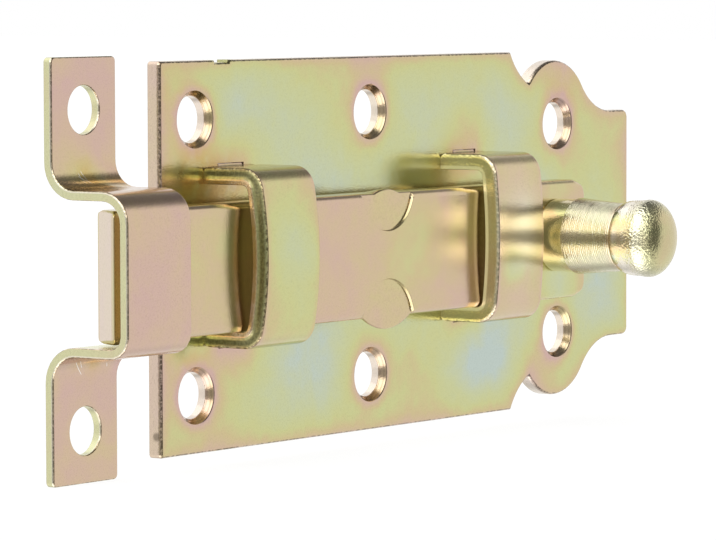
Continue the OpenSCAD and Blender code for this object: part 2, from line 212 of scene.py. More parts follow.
class StageSettings(PropertyGroup):
    """Camera, lights and floor."""

    view_x: length("Camera X", "Place of the camera", -457.935)
    view_y: length("Camera Y", "Place of the camera", -322.123)
    view_z: length("Camera Z", "Place of the camera", 32.218)
    azimuth: FloatProperty(name="Azimuth", description="Camera's heading from +Y towards +X", default=54.3572)
    drop: FloatProperty(name="Drop", description="How far the camera looks down, in degrees", default=3.6786)
    roll: FloatProperty(name="Roll", description="Camera's roll in degrees", default=-0.1407)
    focal: FloatProperty(name="Focal length", description="In millimetres on a 36 mm frame", default=228.155)
    floor_z: length("Floor", "Height of the floor under the origin", -24.5)
    floor_size: length("Floor size", "Side of the square floor", 6000)
    floor_glow: share("Floor glow", "Share of the floor that shows as plain white", 0.85)
    dark: share("Unlit", "Brightness of the studio's unlit parts", 0.16)
    dim: share("Camera's surroundings", "How much darker the low band round the camera is", 0.55)
    under: share("Under the right light", "How much darker it is low on the camera's right", 0.35)
    above: share("Overhead light", "How much brighter the studio is high and low behind", 0.14)
    left: share("Left light", "How much brighter the lights on the camera's left are in front", 1.3)
    top: share("Top light", "Radiance of the softbox above and behind", 0.3)


class BoltSettings(PropertyGroup):
    """All settings of the door bolt."""

    plate: PointerProperty(type=PlateSettings)
    guide: PointerProperty(type=GuideSettings)
    bar: PointerProperty(type=BarSettings)
    knob: PointerProperty(type=KnobSettings)
    keeper: PointerProperty(type=KeeperSettings)
    finish: PointerProperty(type=FinishSettings)
    stage: PointerProperty(type=StageSettings)


# Lines


def arc(centre, radius, start, end, step=0.3 * MM):
    """A circle's arc: centre + radius * (cos a, sin a), with a from start to end in degrees."""
    count = max(3, math.ceil(abs(math.radians(end - start)) * radius / step) + 1)
    a = np.radians(np.linspace(start, end, count))
    return np.asarray(centre) + radius * columns(np.cos(a), np.sin(a))


def heading(start, end):
    """Direction from one point to another, in degrees from 0 to 360."""
    return math.degrees(math.atan2(end[1] - start[1], end[0] - start[0])) % 360


def closed(*runs, step=0.7 * MM):
    """One closed line through the runs of points, with points added where two are further apart than step."""
    line = np.concatenate([np.atleast_2d(run) for run in runs])
    line = line[np.linalg.norm(line - np.roll(line, 1, axis=0), axis=1) > 1e-7]
    ahead = np.roll(line, -1, axis=0) - line
    counts = np.maximum(1, np.ceil(np.linalg.norm(ahead, axis=1) / step).astype(int))
    index = np.repeat(np.arange(len(line)), counts)
    part = (np.arange(counts.sum()) - (np.cumsum(counts) - counts)[index]) / counts[index]
    return line[index] + ahead[index] * part[:, None]


def outward(line):
    """The mitred way out of the metal at each point of a closed line that has it on the left. It is
    (n1 + n2) / (1 + n1 . n2) for the normals before and after the point."""
    along = np.roll(line, -1, axis=0) - line
    along /= np.linalg.norm(along, axis=1, keepdims=True)
    after = columns(along[:, 1], -along[:, 0])
    before = np.roll(after, 1, axis=0)
    return (before + after) / (1 + (before * after).sum(axis=1, keepdims=True))


def inside(points, line):
    """Even-odd rule: whether each point lies inside the closed line."""
    x, y = points[:, :1], points[:, 1:]
    a, b = line, np.roll(line, -1, axis=0)
    rise = np.where(a[:, 1] == b[:, 1], 1.0, b[:, 1] - a[:, 1])
    crosses = (a[:, 1] > y) != (b[:, 1] > y)
    return (crosses & (x < a[:, 0] + (y - a[:, 1]) * (b[:, 0] - a[:, 0]) / rise)).sum(axis=1) % 2 == 1


def nearest(points, line):
    """Distance from each point to the nearest point of a line."""
    return np.sqrt(((points[:, None] - line[None]) ** 2).sum(axis=2).min(axis=1))


def columns(*values):
    """Stacks arrays as the last axis."""
    return np.stack(values, axis=-1)


def eased(low, high, value):
    """Smooth step: 0 below low, 1 above high, 3 t^2 - 2 t^3 between."""
    t = np.clip((value - low) / (high - low), 0.0, 1.0)
    return t * t * (3 - 2 * t)


# Sheets

FIELDS = ("film", "shade", "pale", "gold", "glow", "cut")

# Rounding of an edge that is left sharp
SHARP = 0.05 * MM


def edge_rows(thick, front_in, front_deep, back, lean=0.0):
    """Edge of a sheet as rows of (out, up) from face to back: a quarter ellipse of semi-axes front_in and
    front_deep, the straight wall, and a quarter circle of radius back. The radii may differ from point to
    point of the line. The wall is drawn in by lean * thick at the face."""
    turn = np.radians(np.linspace(0, 90, 9))[:, None]
    front_in, front_deep, back = (np.atleast_1d(value)[None, :] for value in (front_in, front_deep, back))
    inward, down = 1 - np.sin(turn), 1 - np.cos(turn)
    face = columns(-front_in * inward, -front_deep * down)
    rear = columns(-back * inward, -thick + back * down)[::-1]
    part = np.linspace(0, 1, 14)[1:-1, None, None]
    rows = np.concatenate((face, face[-1] + (rear[0] - face[-1]) * part, rear))
    deep = -rows[..., 1] / thick
    rows[..., 0] -= lean * thick * (1 - deep)
    return rows


def sunk_rows(thick, sink, deep):
    """Edge of a countersunk hole: rounded rim, cone with uneven tool rings, shoulder and plain wall."""
    rim, soft, ring_high, ring_count = 0.12 * MM, 0.06 * MM, 0.014 * MM, 2.7
    along = np.linspace(0.06, 0.94, 41)
    uneven = 0.6 + 0.4 * np.sin(along * 9)
    rings = ring_high * np.sin(along * 2 * math.pi * ring_count) * uneven
    cone = columns(-sink * (1 - along) + rings, -deep * along - rings)
    rows = [
        [(-sink - rim, 0.0), (-sink - 0.4 * rim, -0.1 * rim)],
        cone,
        [(0.0, -deep - soft), (0.0, -thick + soft), (-0.3 * soft, -thick + 0.3 * soft), (-soft, -thick)],
    ]
    return np.concatenate([np.asarray(part) for part in rows])[:, None, :]


class Sheet:
    """A sheet with rounded rims, cut along closed lines and laid in space.

    Lines turn anticlockwise round the outside and clockwise round holes, so the metal is on their left. Each
    carries an edge profile from the face (up = 0) to the back (up = -thick): point = line + out * way out of
    the metal, at height up. The face and the back are triangulated between the lines over a staggered grid.
    place(u, v, up) lays points in space.
    """

    def __init__(self, outline, holes, thick, place, look, edge_look, spacing=0.9 * MM, marks=()):
        self.place, self.thick, self.look, self.edge_look = place, thick, look, edge_look
        self.lines = [outline[0]] + [hole[0] for hole in holes]
        self.points, self.normals, self.looks, self.quads, self.triangles = [], [], [], [], []
        self.count = 0
        walls = [self.wall(*edge) for edge in [outline] + holes]
        grid = self.grid(walls, spacing, marks)
        self.face(walls, 0, grid, 0.0)
        self.face(walls, -1, grid, -thick)

    def store(self, flat, normals, looks):
        first = self.count
        self.points.append(self.place(flat))
        self.normals.append(normals)
        self.looks.append(looks)
        self.count += len(flat)
        return first

    def slope(self, flat):
        """The laid sheet's upward normal, from small differences of place in u and v."""
        tiny = 0.01 * MM
        across = self.place(flat + (tiny, 0, 0)) - self.place(flat - (tiny, 0, 0))
        along = self.place(flat + (0, tiny, 0)) - self.place(flat - (0, tiny, 0))
        normal = np.cross(across, along)
        return normal / np.linalg.norm(normal, axis=1, keepdims=True)

    def wall(self, line, rows, way=None, grit=1.0):
        """Lays the profile round the line, and returns the rim points of face and back with their numbers.
        The look goes over from the face's to the cut edge's as the normal turns away. grit is the share of a
        cut's coarseness."""
        way = outward(line) if way is None else way
        rows = np.broadcast_to(rows, (len(rows), len(line), 2))
        flat = np.concatenate((line[None] + way[None] * rows[..., :1], rows[..., 1:]), axis=2)
        laid = self.place(flat.reshape(-1, 3)).reshape(flat.shape)
        down = np.gradient(laid, axis=0)
        round_ = np.roll(laid, -1, axis=1) - np.roll(laid, 1, axis=1)
        normal = np.cross(down, round_)
        normal /= np.linalg.norm(normal, axis=2, keepdims=True)
        normal[0] = self.slope(flat[0])
        normal[-1] = -self.slope(flat[-1])
        cut = np.clip(1 - np.abs((normal * normal[0]).sum(axis=2)), 0, 1)
        cut[0] = cut[-1] = 0
        rim = self.look(flat[0], np.zeros(len(line)))
        edge = self.edge_look(flat, -flat[..., 2] / self.thick)
        tone = rim + (edge - rim) * cut[..., None]
        looks = np.concatenate((tone, grit * cut[..., None]), axis=2)
        first = self.store(flat.reshape(-1, 3), normal.reshape(-1, 3), looks.reshape(-1, len(FIELDS)))
        number = first + np.arange(cut.size).reshape(cut.shape)
        beside = np.roll(number, -1, axis=1)
        quads = np.stack((number[:-1], number[1:], beside[1:], beside[:-1]), axis=2).reshape(-1, 4)
        self.quads.append(quads)
        return {0: (flat[0], number[0]), -1: (flat[-1], number[-1])}

    def grid(self, walls, spacing, marks):
        """Staggered grid points on the metal, well clear of every rim, plus the marks' own points."""
        low, high = self.lines[0].min(axis=0), self.lines[0].max(axis=0)
        row_gap = spacing * 0.866
        u, v = np.meshgrid(np.arange(low[0], high[0], spacing), np.arange(low[1], high[1], row_gap))
        u[::2] += spacing / 2
        points = columns(u.ravel(), v.ravel())
        rims = np.concatenate([wall[side][0][:, :2] for wall in walls for side in (0, -1)])
        outer = walls[0][0][0][:, :2]
        keep = inside(points, outer) & (nearest(points, rims) > 0.55 * spacing)
        for mark in marks:
            keep &= nearest(points, mark) > 0.3 * spacing
        for line in self.lines[1:]:
            keep &= ~inside(points, line)
        clear = [mark[inside(mark, outer) & (nearest(mark, rims) > 0.05 * MM)] for mark in marks]
        return np.concatenate([points[keep], *clear])

    def face(self, walls, side, grid, up):
        """Triangles between the rims and the grid's points, on the face (side 0) or the back (side -1)."""
        rims = [wall[side] for wall in walls]
        flat = np.concatenate([rim[0][:, :2] for rim in rims] + [grid])
        starts = np.cumsum([0] + [len(rim[0]) for rim in rims])
        edges = [
            (int(k), int(k + 1 if k + 1 < end else begin))
            for begin, end in zip(starts[:-1], starts[1:])
            for k in range(begin, end)
        ]
        made = delaunay_2d_cdt([Vector(p) for p in flat.tolist()], edges, [], 0, 1e-9)
        source = np.array([given[0] for given in made[3]])
        corners = source[np.array(made[2])]
        middle = flat[corners].mean(axis=1)
        keep = inside(middle, flat[: starts[1]])
        for begin, end in zip(starts[1:-1], starts[2:]):
            keep &= ~inside(middle, flat[begin:end])
        corners = corners[keep]
        spots = np.concatenate((grid, np.full((len(grid), 1), up)), axis=1)
        away = nearest(grid, np.concatenate(self.lines))
        normals = self.slope(spots) * (1 if side == 0 else -1)
        looks = np.concatenate((self.look(spots, away), np.zeros((len(spots), 1))), axis=1)
        first = self.store(spots, normals, looks)
        number = np.concatenate([rim[1] for rim in rims] + [first + np.arange(len(grid))])
        triangles = number[corners]
        self.triangles.append(triangles if side == 0 else triangles[:, ::-1])

    def mesh(self, name):
        return solid(
            name,
            np.concatenate(self.points),
            np.concatenate(self.normals),
            [np.concatenate(self.quads), np.concatenate(self.triangles)],
            dict(zip(FIELDS, np.concatenate(self.looks).T)),
        )


def solid(name, points, normals, faces, fields):
    """A mesh object from points, their normals, groups of faces with equal corner counts, and fields."""
    data = bpy.data.meshes.new(name)
    corners = np.concatenate([group.ravel() for group in faces])
    totals = np.concatenate([np.full(len(group), group.shape[1]) for group in faces])
    data.vertices.add(len(points))
    data.vertices.foreach_set("co", points.astype(np.float32).ravel())
    data.loops.add(len(corners))
    data.loops.foreach_set("vertex_index", corners.astype(np.int32))
    data.polygons.add(len(totals))
    data.polygons.foreach_set("loop_start", (np.cumsum(totals) - totals).astype(np.int32))
    data.polygons.foreach_set("use_smooth", np.ones(len(totals), dtype=bool))
    for field, values in fields.items():
        attribute = data.attributes.new(field, "FLOAT", "POINT")
        attribute.data.foreach_set("value", values.astype(np.float32))
    data.update(calc_edges=True)
    if data.validate():
        raise RuntimeError(f"{name}: the mesh had faulty faces")
    data.normals_split_custom_set_from_vertices(normals)
    piece = bpy.data.objects.new(name, data)
    bpy.context.scene.collection.objects.link(piece)
    return piece


def looks(film, shade=0.0, pale=0.0, gold=0.0, glow=0.0):
    """The look of points as columns: film thickness, and shares of shade, paleness, golden stain and glow."""
    return columns(*(np.broadcast_to(value, np.shape(film)) for value in (film, shade, pale, gold, glow)))


def patches(spots):
    """A field of soft round patches, the sum of strength * exp(-(distance / size)^2) over rows of
    (u, v, size, strength) in mm."""

    def field(flat):
        total = np.zeros(len(flat))
        for u, v, size, strength in spots:
            far = ((flat[:, 0] - u * MM) ** 2 + (flat[:, 1] - v * MM) ** 2) / (size * MM) ** 2
            total += strength * np.exp(-far)
        return total

    return field


# Places


class Places:
    """Where the pieces lie, worked out from their sizes as the solids are."""

    def __init__(self, settings):
        plate, guide, bar, keeper = settings.plate, settings.guide, settings.bar, settings.keeper
        self.end = -plate.long / 2
        self.outer_bend = guide.bend + guide.thick
        self.bend_z = guide.high / 2 - self.outer_bend
        self.front_bend = self.bend_depth(plate, guide.front_rise, guide.front_crown)
        self.rear_bend = self.bend_depth(plate, guide.rear_rise, guide.rear_crown)
        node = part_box("bolt_bar")
        self.bar_face = -node[0].y
        self.nose, self.bar_end = node[0].x, node[1].x
        keeper_low, keeper_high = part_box("keeper")
        self.keeper_left, self.keeper_right = keeper_low.x, keeper_high.x
        self.keeper_low, self.keeper_high = keeper_low.z, keeper_high.z
        self.hat_depth = -keeper_low.y
        self.keeper_mid = (keeper_low.z + keeper_high.z) / 2
        self.hat_half = (bar.high + keeper.top_gap + keeper.seat_gap) / 2 + keeper.thick
        self.hat_top = self.keeper_mid + self.hat_half
        self.hat_bottom = self.keeper_mid - self.hat_half
        self.bar_top = self.hat_top - keeper.thick - keeper.top_gap
        self.bar_bottom = self.bar_top - bar.high
        knob_low, knob_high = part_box("knob")
        self.knob_x = (knob_low.x + knob_high.x) / 2
        self.knob_z = (self.bar_top + self.bar_bottom) / 2 + settings.knob.rise
        self.stop_x = self.end + guide.rear_x - guide.stop_way

    def bend_depth(self, plate, rise, crown):
        """Depth of the bends' centres, where the bends' circles touch the crown's circle from inside."""
        touching = math.sqrt((crown - self.outer_bend) ** 2 - self.bend_z**2)
        return plate.thick + rise - crown + touching


# Plate


def plate_line(plate, places):
    """The blank's outline, anticlockwise from the middle of the tail's end: arcs and straights above the
    centre line, and their mirror image below without the shear mark."""
    end, right = places.end, places.end + plate.long
    tail, panel = plate.tail_high / 2, plate.high / 2
    ear = (end + plate.ear_x, plate.ear_span / 2)
    sweep_z = tail + plate.sweep_radius
    sweep_off = math.sqrt((plate.ear_radius + plate.sweep_radius) ** 2 - (sweep_z - ear[1]) ** 2)
    sweep = (ear[0] + sweep_off, sweep_z)
    corner = (end + plate.panel, panel)
    shoulder = (
        corner[0] + math.sqrt(plate.shoulder_radius**2 - plate.shoulder_rise**2),
        panel + plate.shoulder_rise,
    )
    cusp = crossing(shoulder, plate.shoulder_radius, ear, plate.ear_radius)
    nick = end + plate.nick_x
    half = plate.nick_wide / 2
    corner_at = (end + plate.panel_corner, panel - plate.panel_corner)
    upper = [
        [(right, 0.0)],
        arc((right - plate.tail_corner, tail - plate.tail_corner), plate.tail_corner, 0, 90, 0.1 * MM),
        arc(sweep, plate.sweep_radius, 270, heading(sweep, ear)),
        arc(ear, plate.ear_radius, heading(ear, sweep), heading(ear, cusp)),
        arc(shoulder, plate.shoulder_radius, heading(shoulder, cusp), heading(shoulder, corner)),
    ]
    mark = [
        (nick + half, panel),
        (nick + half, panel - plate.nick_deep),
        (nick - half, panel - plate.nick_deep),
        (nick - half, panel),
    ]
    turn = arc(corner_at, plate.panel_corner, 90, 180, 0.08 * MM)
    lower = np.concatenate([np.atleast_2d(run) for run in upper[1:] + [turn]])[::-1] * (1, -1)
    return closed(*upper, mark, turn, lower)


def crossing(first, first_radius, second, second_radius):
    """The crossing of two circles that lies towards -X."""
    first, second = np.asarray(first), np.asarray(second)
    far = np.linalg.norm(second - first)
    along = (second - first) / far
    reach = (first_radius**2 - second_radius**2 + far**2) / (2 * far)
    rise = math.sqrt(first_radius**2 - reach**2)
    side = np.array((along[1], -along[0]))
    both = [first + reach * along + way * rise * side for way in (-1, 1)]
    return min(both, key=lambda point: point[0])


def plate_place(plate):
    """u is X, v is Z, and the face lies one thickness in front of the door."""

    def place(flat):
        return columns(flat[:, 0], -plate.thick - flat[:, 2], flat[:, 1])

    return place


def slot_line(left, guide, side):
    """The slot of one tenon: a plain rectangle that reaches out past the leg by the play."""
    low = guide.high / 2 - guide.thick
    high = guide.high / 2 + guide.play
    a = left + (guide.wide - guide.tenon) / 2
    b = a + guide.tenon
    box = [(a, low), (a, high), (b, high), (b, low)]
    if side < 0:
        box = [(x, -z) for x, z in box[::-1]]
    return closed(box, step=0.4 * MM)


# Patches and stains are (u, v, size, strength) and (x, y, z, size, strength) in mm
PLATE_STAINS = ((-50, -1.1, -20.3, 0.7, 0.55),)
PLATE_FILM = (
    (-16.9, 17.6, 6, -0.18), (-39.6, 20.0, 6, 0.12), (-30.5, 20.1, 5, 0.05), (-21.0, 11.5, 6, 0.06),
    (-12.8, 14.5, 4, -0.15), (20.9, 13.6, 5, 0.15), (11.9, 13.5, 3.5, -0.22), (43.2, 9.7, 6, -0.22),
    (37.2, 7.9, 5, -0.15), (44.5, -10.1, 5, 0.2), (35.3, -6.9, 4, 0.1), (-36.0, -12.4, 5, -0.25),
    (-36.0, -20.6, 5, -0.15), (-22.6, -14.5, 6, 0.12), (0.8, -15.6, 5, -0.32), (16.3, -14.1, 5.5, 0.42),
    (30.1, -17.0, 4, -0.35), (-45.5, 5.0, 6, -0.25), (-48.5, 15, 7, -0.28), (-48.5, -14, 7, -0.25),
    (-8.2, 20.5, 4, -0.3), (33.6, 18, 4, -0.35), (-23.0, 11.8, 4, -0.12), (-12.8, 15.1, 2.5, 0.15),
)
# Golden patches: by the front guide's feet and inside the guides' C they are painted glints, reflections of
# the guides; high on the plate they are golden film
PLATE_GOLD_AND_GLINTS = (
    (-43.5, 10.5, 3.5, 0.45), (-45.5, 9.2, 1.4, 0.5), (-44.5, -10.3, 3.5, 0.35), (-37, 7.6, 4, 0.45),
    (-42, 7.6, 4, 0.4), (10, 7.8, 3.5, 0.35), (6, 7.8, 3.5, 0.3), (34, 18, 5, 0.15), (-48.5, 20, 5, 0.12),
)
# Painted shade: inside the guides' C and by the front guide's feet, where the guides' shade and dark
# reflections fall on the plate
PLATE_PAINTED_SHADE = (
    (-38, 7.6, 3, 0.22), (-43, 7.6, 3, 0.22), (-46.3, 9.6, 1.3, 0.6), (-46.3, -10.2, 1.2, 0.4),
    (8, 7.8, 3.5, 0.12),
)


def plate_sheet(settings, places):
    """The blank with six countersunk holes and four slots. Its film grows thinner towards every edge."""
    plate, guide = settings.plate, settings.guide
    slot_rim, step, near_edge, near_sink = 0.03 * MM, 0.22 * MM, 3.2 * MM, 1.2 * MM
    ring_at, ring_gap = 0.27 * MM, 0.36 * MM
    plain = edge_rows(plate.thick, plate.roll_in, plate.roll_deep, plate.burr)
    slot = edge_rows(plate.thick, slot_rim, slot_rim, SHARP)
    sunk = sunk_rows(plate.thick, (plate.sink - plate.hole) / 2, plate.sink_deep)
    centres = [
        (places.end + x, side * span / 2)
        for x, span in (
            (plate.end_hole_x, plate.hole_span),
            (plate.mid_hole_x, plate.hole_span),
            (plate.ear_hole_x, plate.ear_hole_span),
        )
        for side in (-1, 1)
    ]
    holes = [(arc(centre, plate.hole / 2, 360, 0, step)[:-1], sunk, None, 0.0) for centre in centres]
    slots = [
        (slot_line(places.end + x, guide, side), slot)
        for x in (guide.front_x, guide.rear_x)
        for side in (-1, 1)
    ]
    spots, golden, painted_shade = patches(PLATE_FILM), patches(PLATE_GOLD_AND_GLINTS), patches(PLATE_PAINTED_SHADE)
    middles = np.array(centres)

    def look(flat, away):
        past_sink = np.clip(nearest(flat[:, :2], middles) - plate.sink / 2, 0, None)
        film = 0.30 + 0.52 * (1 - np.exp(-away / near_edge)) + spots(flat)
        film = film - 0.12 * np.exp(-past_sink / near_sink)
        # On the face only: painted shade, and golden patches that are partly painted glints
        front = np.where(flat[:, 2] > -0.5 * plate.thick, 1.0, 0.0)
        return looks(film, front * painted_shade(flat), 0.0, front * golden(flat))

    def edge_look(flat, deep):
        away = nearest(flat[..., :2].reshape(-1, 2), middles).reshape(deep.shape)
        cone = eased(plate.sink / 2 + 0.2 * MM, plate.sink / 2, away)
        cone = cone * eased(plate.hole / 2, plate.hole / 2 + 0.1 * MM, away)
        # Painted shade in the countersinks: the cones are darkened, with painted dark rings for the
        # reflections of the tool rings
        ring = eased(0.1, 0.8, np.cos((deep * plate.thick - ring_at) / ring_gap * 2 * math.pi))
        # The nick's wall is painted darker and yellower, as painted shade
        nick = eased(plate.nick_wide, 0.8 * plate.nick_wide, np.abs(flat[..., 0] - places.end - plate.nick_x))
        level = eased(0.3 * MM, 0.8 * MM, flat[..., 0] - places.end)
        pale = 0.25 * (1 - nick) + 0.45 * level * (1 - cone) * (1 - nick)
        return looks(0.10 + 0.2 * cone + 0.35 * nick, cone * (0.22 + 0.70 * ring), pale, 0.3 * cone)

    outline = (plate_line(plate, places), plain)
    return Sheet(outline, holes + slots, plate.thick, plate_place(plate), look, edge_look)


# Straps


def strap_path(start, angle, legs):
    """A path in the (depth, z) plane from start, at angle degrees, through legs of (length, turn in degrees),
    and its whole length. The path is a function of arc length: point(s) runs straight where turn is 0, and on
    a circle of radius length / turn elsewhere."""
    lengths = np.array([leg[0] for leg in legs])
    turns = np.radians([leg[1] for leg in legs])
    starts = np.concatenate(((0.0,), np.cumsum(lengths)))
    angles = math.radians(angle) + np.concatenate(((0.0,), np.cumsum(turns)))
    bends = turns / lengths

    def along(k, s):
        bend = bends[k]
        flat = np.abs(bend) < 1e-9
        safe = np.where(flat, 1.0, bend)
        turned = angles[k] + bend * s
        x = np.where(flat, s * np.cos(angles[k]), (np.sin(turned) - np.sin(angles[k])) / safe)
        z = np.where(flat, s * np.sin(angles[k]), (np.cos(angles[k]) - np.cos(turned)) / safe)
        return columns(x, z), turned

    corners = [np.asarray(start, dtype=float)]
    for k in range(len(legs)):
        corners.append(corners[-1] + along(np.array([k]), lengths[k : k + 1])[0][0])
    corners = np.array(corners)

    def point(s):
        k = np.clip(np.searchsorted(starts, s, side="right") - 1, 0, len(legs) - 1)
        step, turned = along(k, s - starts[k])
        return corners[k] + step, turned

    return point, starts[-1]


def strap_place(path, half, thick, grow=None):
    """Lays a blank along a path: u is X, v runs along the path with 0 at half its length, and up stands off
    the path's middle line on its left. grow(s) thickens the outside where a tenon is upset."""

    def place(flat):
        s = flat[:, 1] + half
        centre, turned = path(s)
        up = flat[:, 2] + thick / 2
        if grow is not None:
            up = up + grow(s) * (1 + flat[:, 2] / thick)
        y = centre[:, 0] - np.sin(turned) * up
        z = centre[:, 1] + np.cos(turned) * up
        return columns(flat[:, 0], y, z)

    return place


FRONT_FILM = ((0.5, 0, 5, 0.28), (3, -6, 3, 0.08))
REAR_FILM = ((0, 6, 4, -0.26), (0, 0.5, 2.5, -0.2), (0, -8, 4, -0.2), (-1.5, -3.5, 2.2, 0.35))
# Pale patches on the rear guide's face: painted highlights where the knob's bright reflections fall
REAR_PAINTED_HIGHLIGHTS = ((1, 2.2, 2.6, 0.6), (1, -1.2, 2.4, 0.55), (-3, 0.8, 3.2, 0.45), (0, 5, 5, 0.15), (0, -7, 5, 0.1))


def guide_sheet(settings, places, left, crown, bend_depth, lean, burr, tones, pales, edge_look):
    """A strap blank with a tenon at each end, bent up, over a crown of large radius and down again. The
    corners beside the tenons are rounded, and just behind the plate's face each tenon swells to fill its
    slot."""
    guide, plate = settings.guide, settings.plate
    tenon_rim, tenon_back, strap_back = 0.02 * MM, 0.04 * MM, 0.08 * MM
    tiny, ledge, slot_gap, near_edge = 0.03 * MM, 0.06 * MM, 0.06 * MM, 1.0 * MM
    slant = math.degrees(math.asin(places.bend_z / (crown - places.outer_bend)))
    bend = (guide.bend + guide.thick / 2) * math.radians(90 - slant)
    arch = (crown - guide.thick / 2) * math.radians(2 * slant)
    legs = [(bend_depth, 0), (bend, slant - 90), (arch, -2 * slant), (bend, slant - 90), (bend_depth, 0)]
    path, total = strap_path((0.0, -(guide.high - guide.thick) / 2), 180, legs)
    half = total / 2
    foot = half - plate.thick
    a, b = left, left + guide.wide
    c, d = left + (guide.wide - guide.tenon) / 2, left + (guide.wide + guide.tenon) / 2
    middle = left + guide.wide / 2
    clear = foot - guide.foot - 0.05 * MM
    along = np.linspace(-clear, clear, 2 * math.ceil(clear / (0.28 * MM)))
    tenon = [(d, -foot - step) for step in (0.7 * MM, 0.3 * MM, 0.15 * MM, 0.0)]
    up = [(d, -half), *tenon, (b - tiny, -foot), (b, -foot), (b, -foot + tiny)]
    right = np.concatenate((up, columns(np.full(len(along), b), along), np.array(up[::-1]) * (1, -1)))
    line = closed(right, right[::-1] * (-1, 1) + (a + b, 0), step=0.78 * MM)
    far, aside = np.abs(line[:, 1]) - foot, np.abs(line[:, 0] - middle)
    beyond = far > -0.001 * MM
    beside = beyond & (far < 0.001 * MM) & (aside > guide.tenon / 2 + tiny)
    corner = (far > -2 * tiny) & (aside > guide.wide / 2 - 2 * tiny)
    rounded, plain = beside | corner, beyond | corner
    radius = np.where(rounded, guide.foot, np.where(beyond, tenon_rim, guide.rim))
    depth = np.where(rounded, guide.foot, np.where(beyond, tenon_rim, guide.rim_deep))
    ways = outward(line)
    ways[corner] = np.sign(line[corner] - (middle, 0)) * (guide.rim / guide.foot, 1)
    back = np.where(beyond, tenon_back, strap_back)
    rows = edge_rows(guide.thick, radius, depth, back, np.where(plain, 0.0, lean))
    rows[..., 0] += np.where(plain, 0.0, burr * guide.thick) * eased(0.45, 0.8, -rows[..., 1] / guide.thick)

    def grow(s):
        deep = np.minimum(s, total - s)
        return (guide.play - slot_gap) * eased(plate.thick - 0.01 * MM, plate.thick - ledge, deep)

    spots, washed = patches(tones), patches(pales)

    def look(flat, away):
        """Pale inside with glow, both painted light from the narrow gap, and painted shade where the foot
        meets the plate.
        """
        from_middle = columns(flat[:, 0] - middle, flat[:, 1])
        beyond = np.abs(flat[:, 1]) - foot
        film = 0.22 + 0.2 * (1 - np.exp(-away / near_edge)) + spots(from_middle)
        film = film - 0.3 * eased(0.0, 0.1 * MM, beyond)
        # Painted shade where the foot meets the plate
        painted_contact_shade = 0.8 * eased(-0.3 * MM, -0.02 * MM, beyond) * eased(0.05 * MM, 0.0, beyond)
        outer = looks(film, painted_contact_shade, washed(from_middle))
        # Inner faces: washed pale and with glow, painted light from the narrow gap round the bar
        inner = looks(0.6 + 0 * film, painted_contact_shade, 0.7, 0.0, 0.28)
        return np.where(flat[:, 2:] < -0.5 * guide.thick, inner, outer)

    across = np.arange(c + 0.2 * MM, d, 0.4 * MM)
    marks = [
        columns(across, np.full(len(across), way * (foot + past)))
        for way in (-1, 1)
        for past in (0.01 * MM, 0.03 * MM, ledge, ledge + 0.03 * MM)
    ]

    def cut_look(flat, deep):
        """The cuts' own look above the plate, and a plain one on the tenons."""
        tenon = eased(foot - 0.05 * MM, foot, np.abs(flat[..., 1]))[..., None]
        return edge_look(flat, deep) * (1 - tenon) + looks(0.25 + 0 * deep) * tenon

    place = strap_place(path, half, guide.thick, grow)
    return Sheet((line, rows, ways), [], guide.thick, place, look, cut_look, 0.6 * MM, marks)


KEEPER_FILM = ((0, 30, 5, -0.1), (0, -17, 4, 0.2), (0, 17.5, 4, 0.35), (-3, 8, 5, 0.1), (4, -30, 5, 0.08))
# Golden tint in the hollow bends: a painted reflection of each bend in itself
KEEPER_BEND_REFLECTION = ((0, 17.8, 2.2, 0.75), (0, -17.4, 2.2, 0.55), (4, 16.5, 2.5, 0.4))
UPPER_BEND, LOWER_BEND = (0, -0.8, 0.6), (0, -0.8, -0.6)
KEEPER_SCRATCHES = (
    ((-64.3, -1.34, 10.67), (-64.0, -2.42, 9.35), UPPER_BEND),
    ((-63.8, -1.26, 10.86), (-63.3, -2.03, 9.66), UPPER_BEND),
    ((-64.6, -1.54, 10.27), (-62.9, -2.42, 9.35), UPPER_BEND),
    ((-65.8, -2.15, -10.48), (-63.6, -1.16, -12.16), LOWER_BEND),
    ((-65.2, -2.3, -10.3), (-63.9, -1.5, -11.4), LOWER_BEND),
    ((-59.8, -1.72, -10.93), (-59.3, -1.36, -11.54), LOWER_BEND),
)


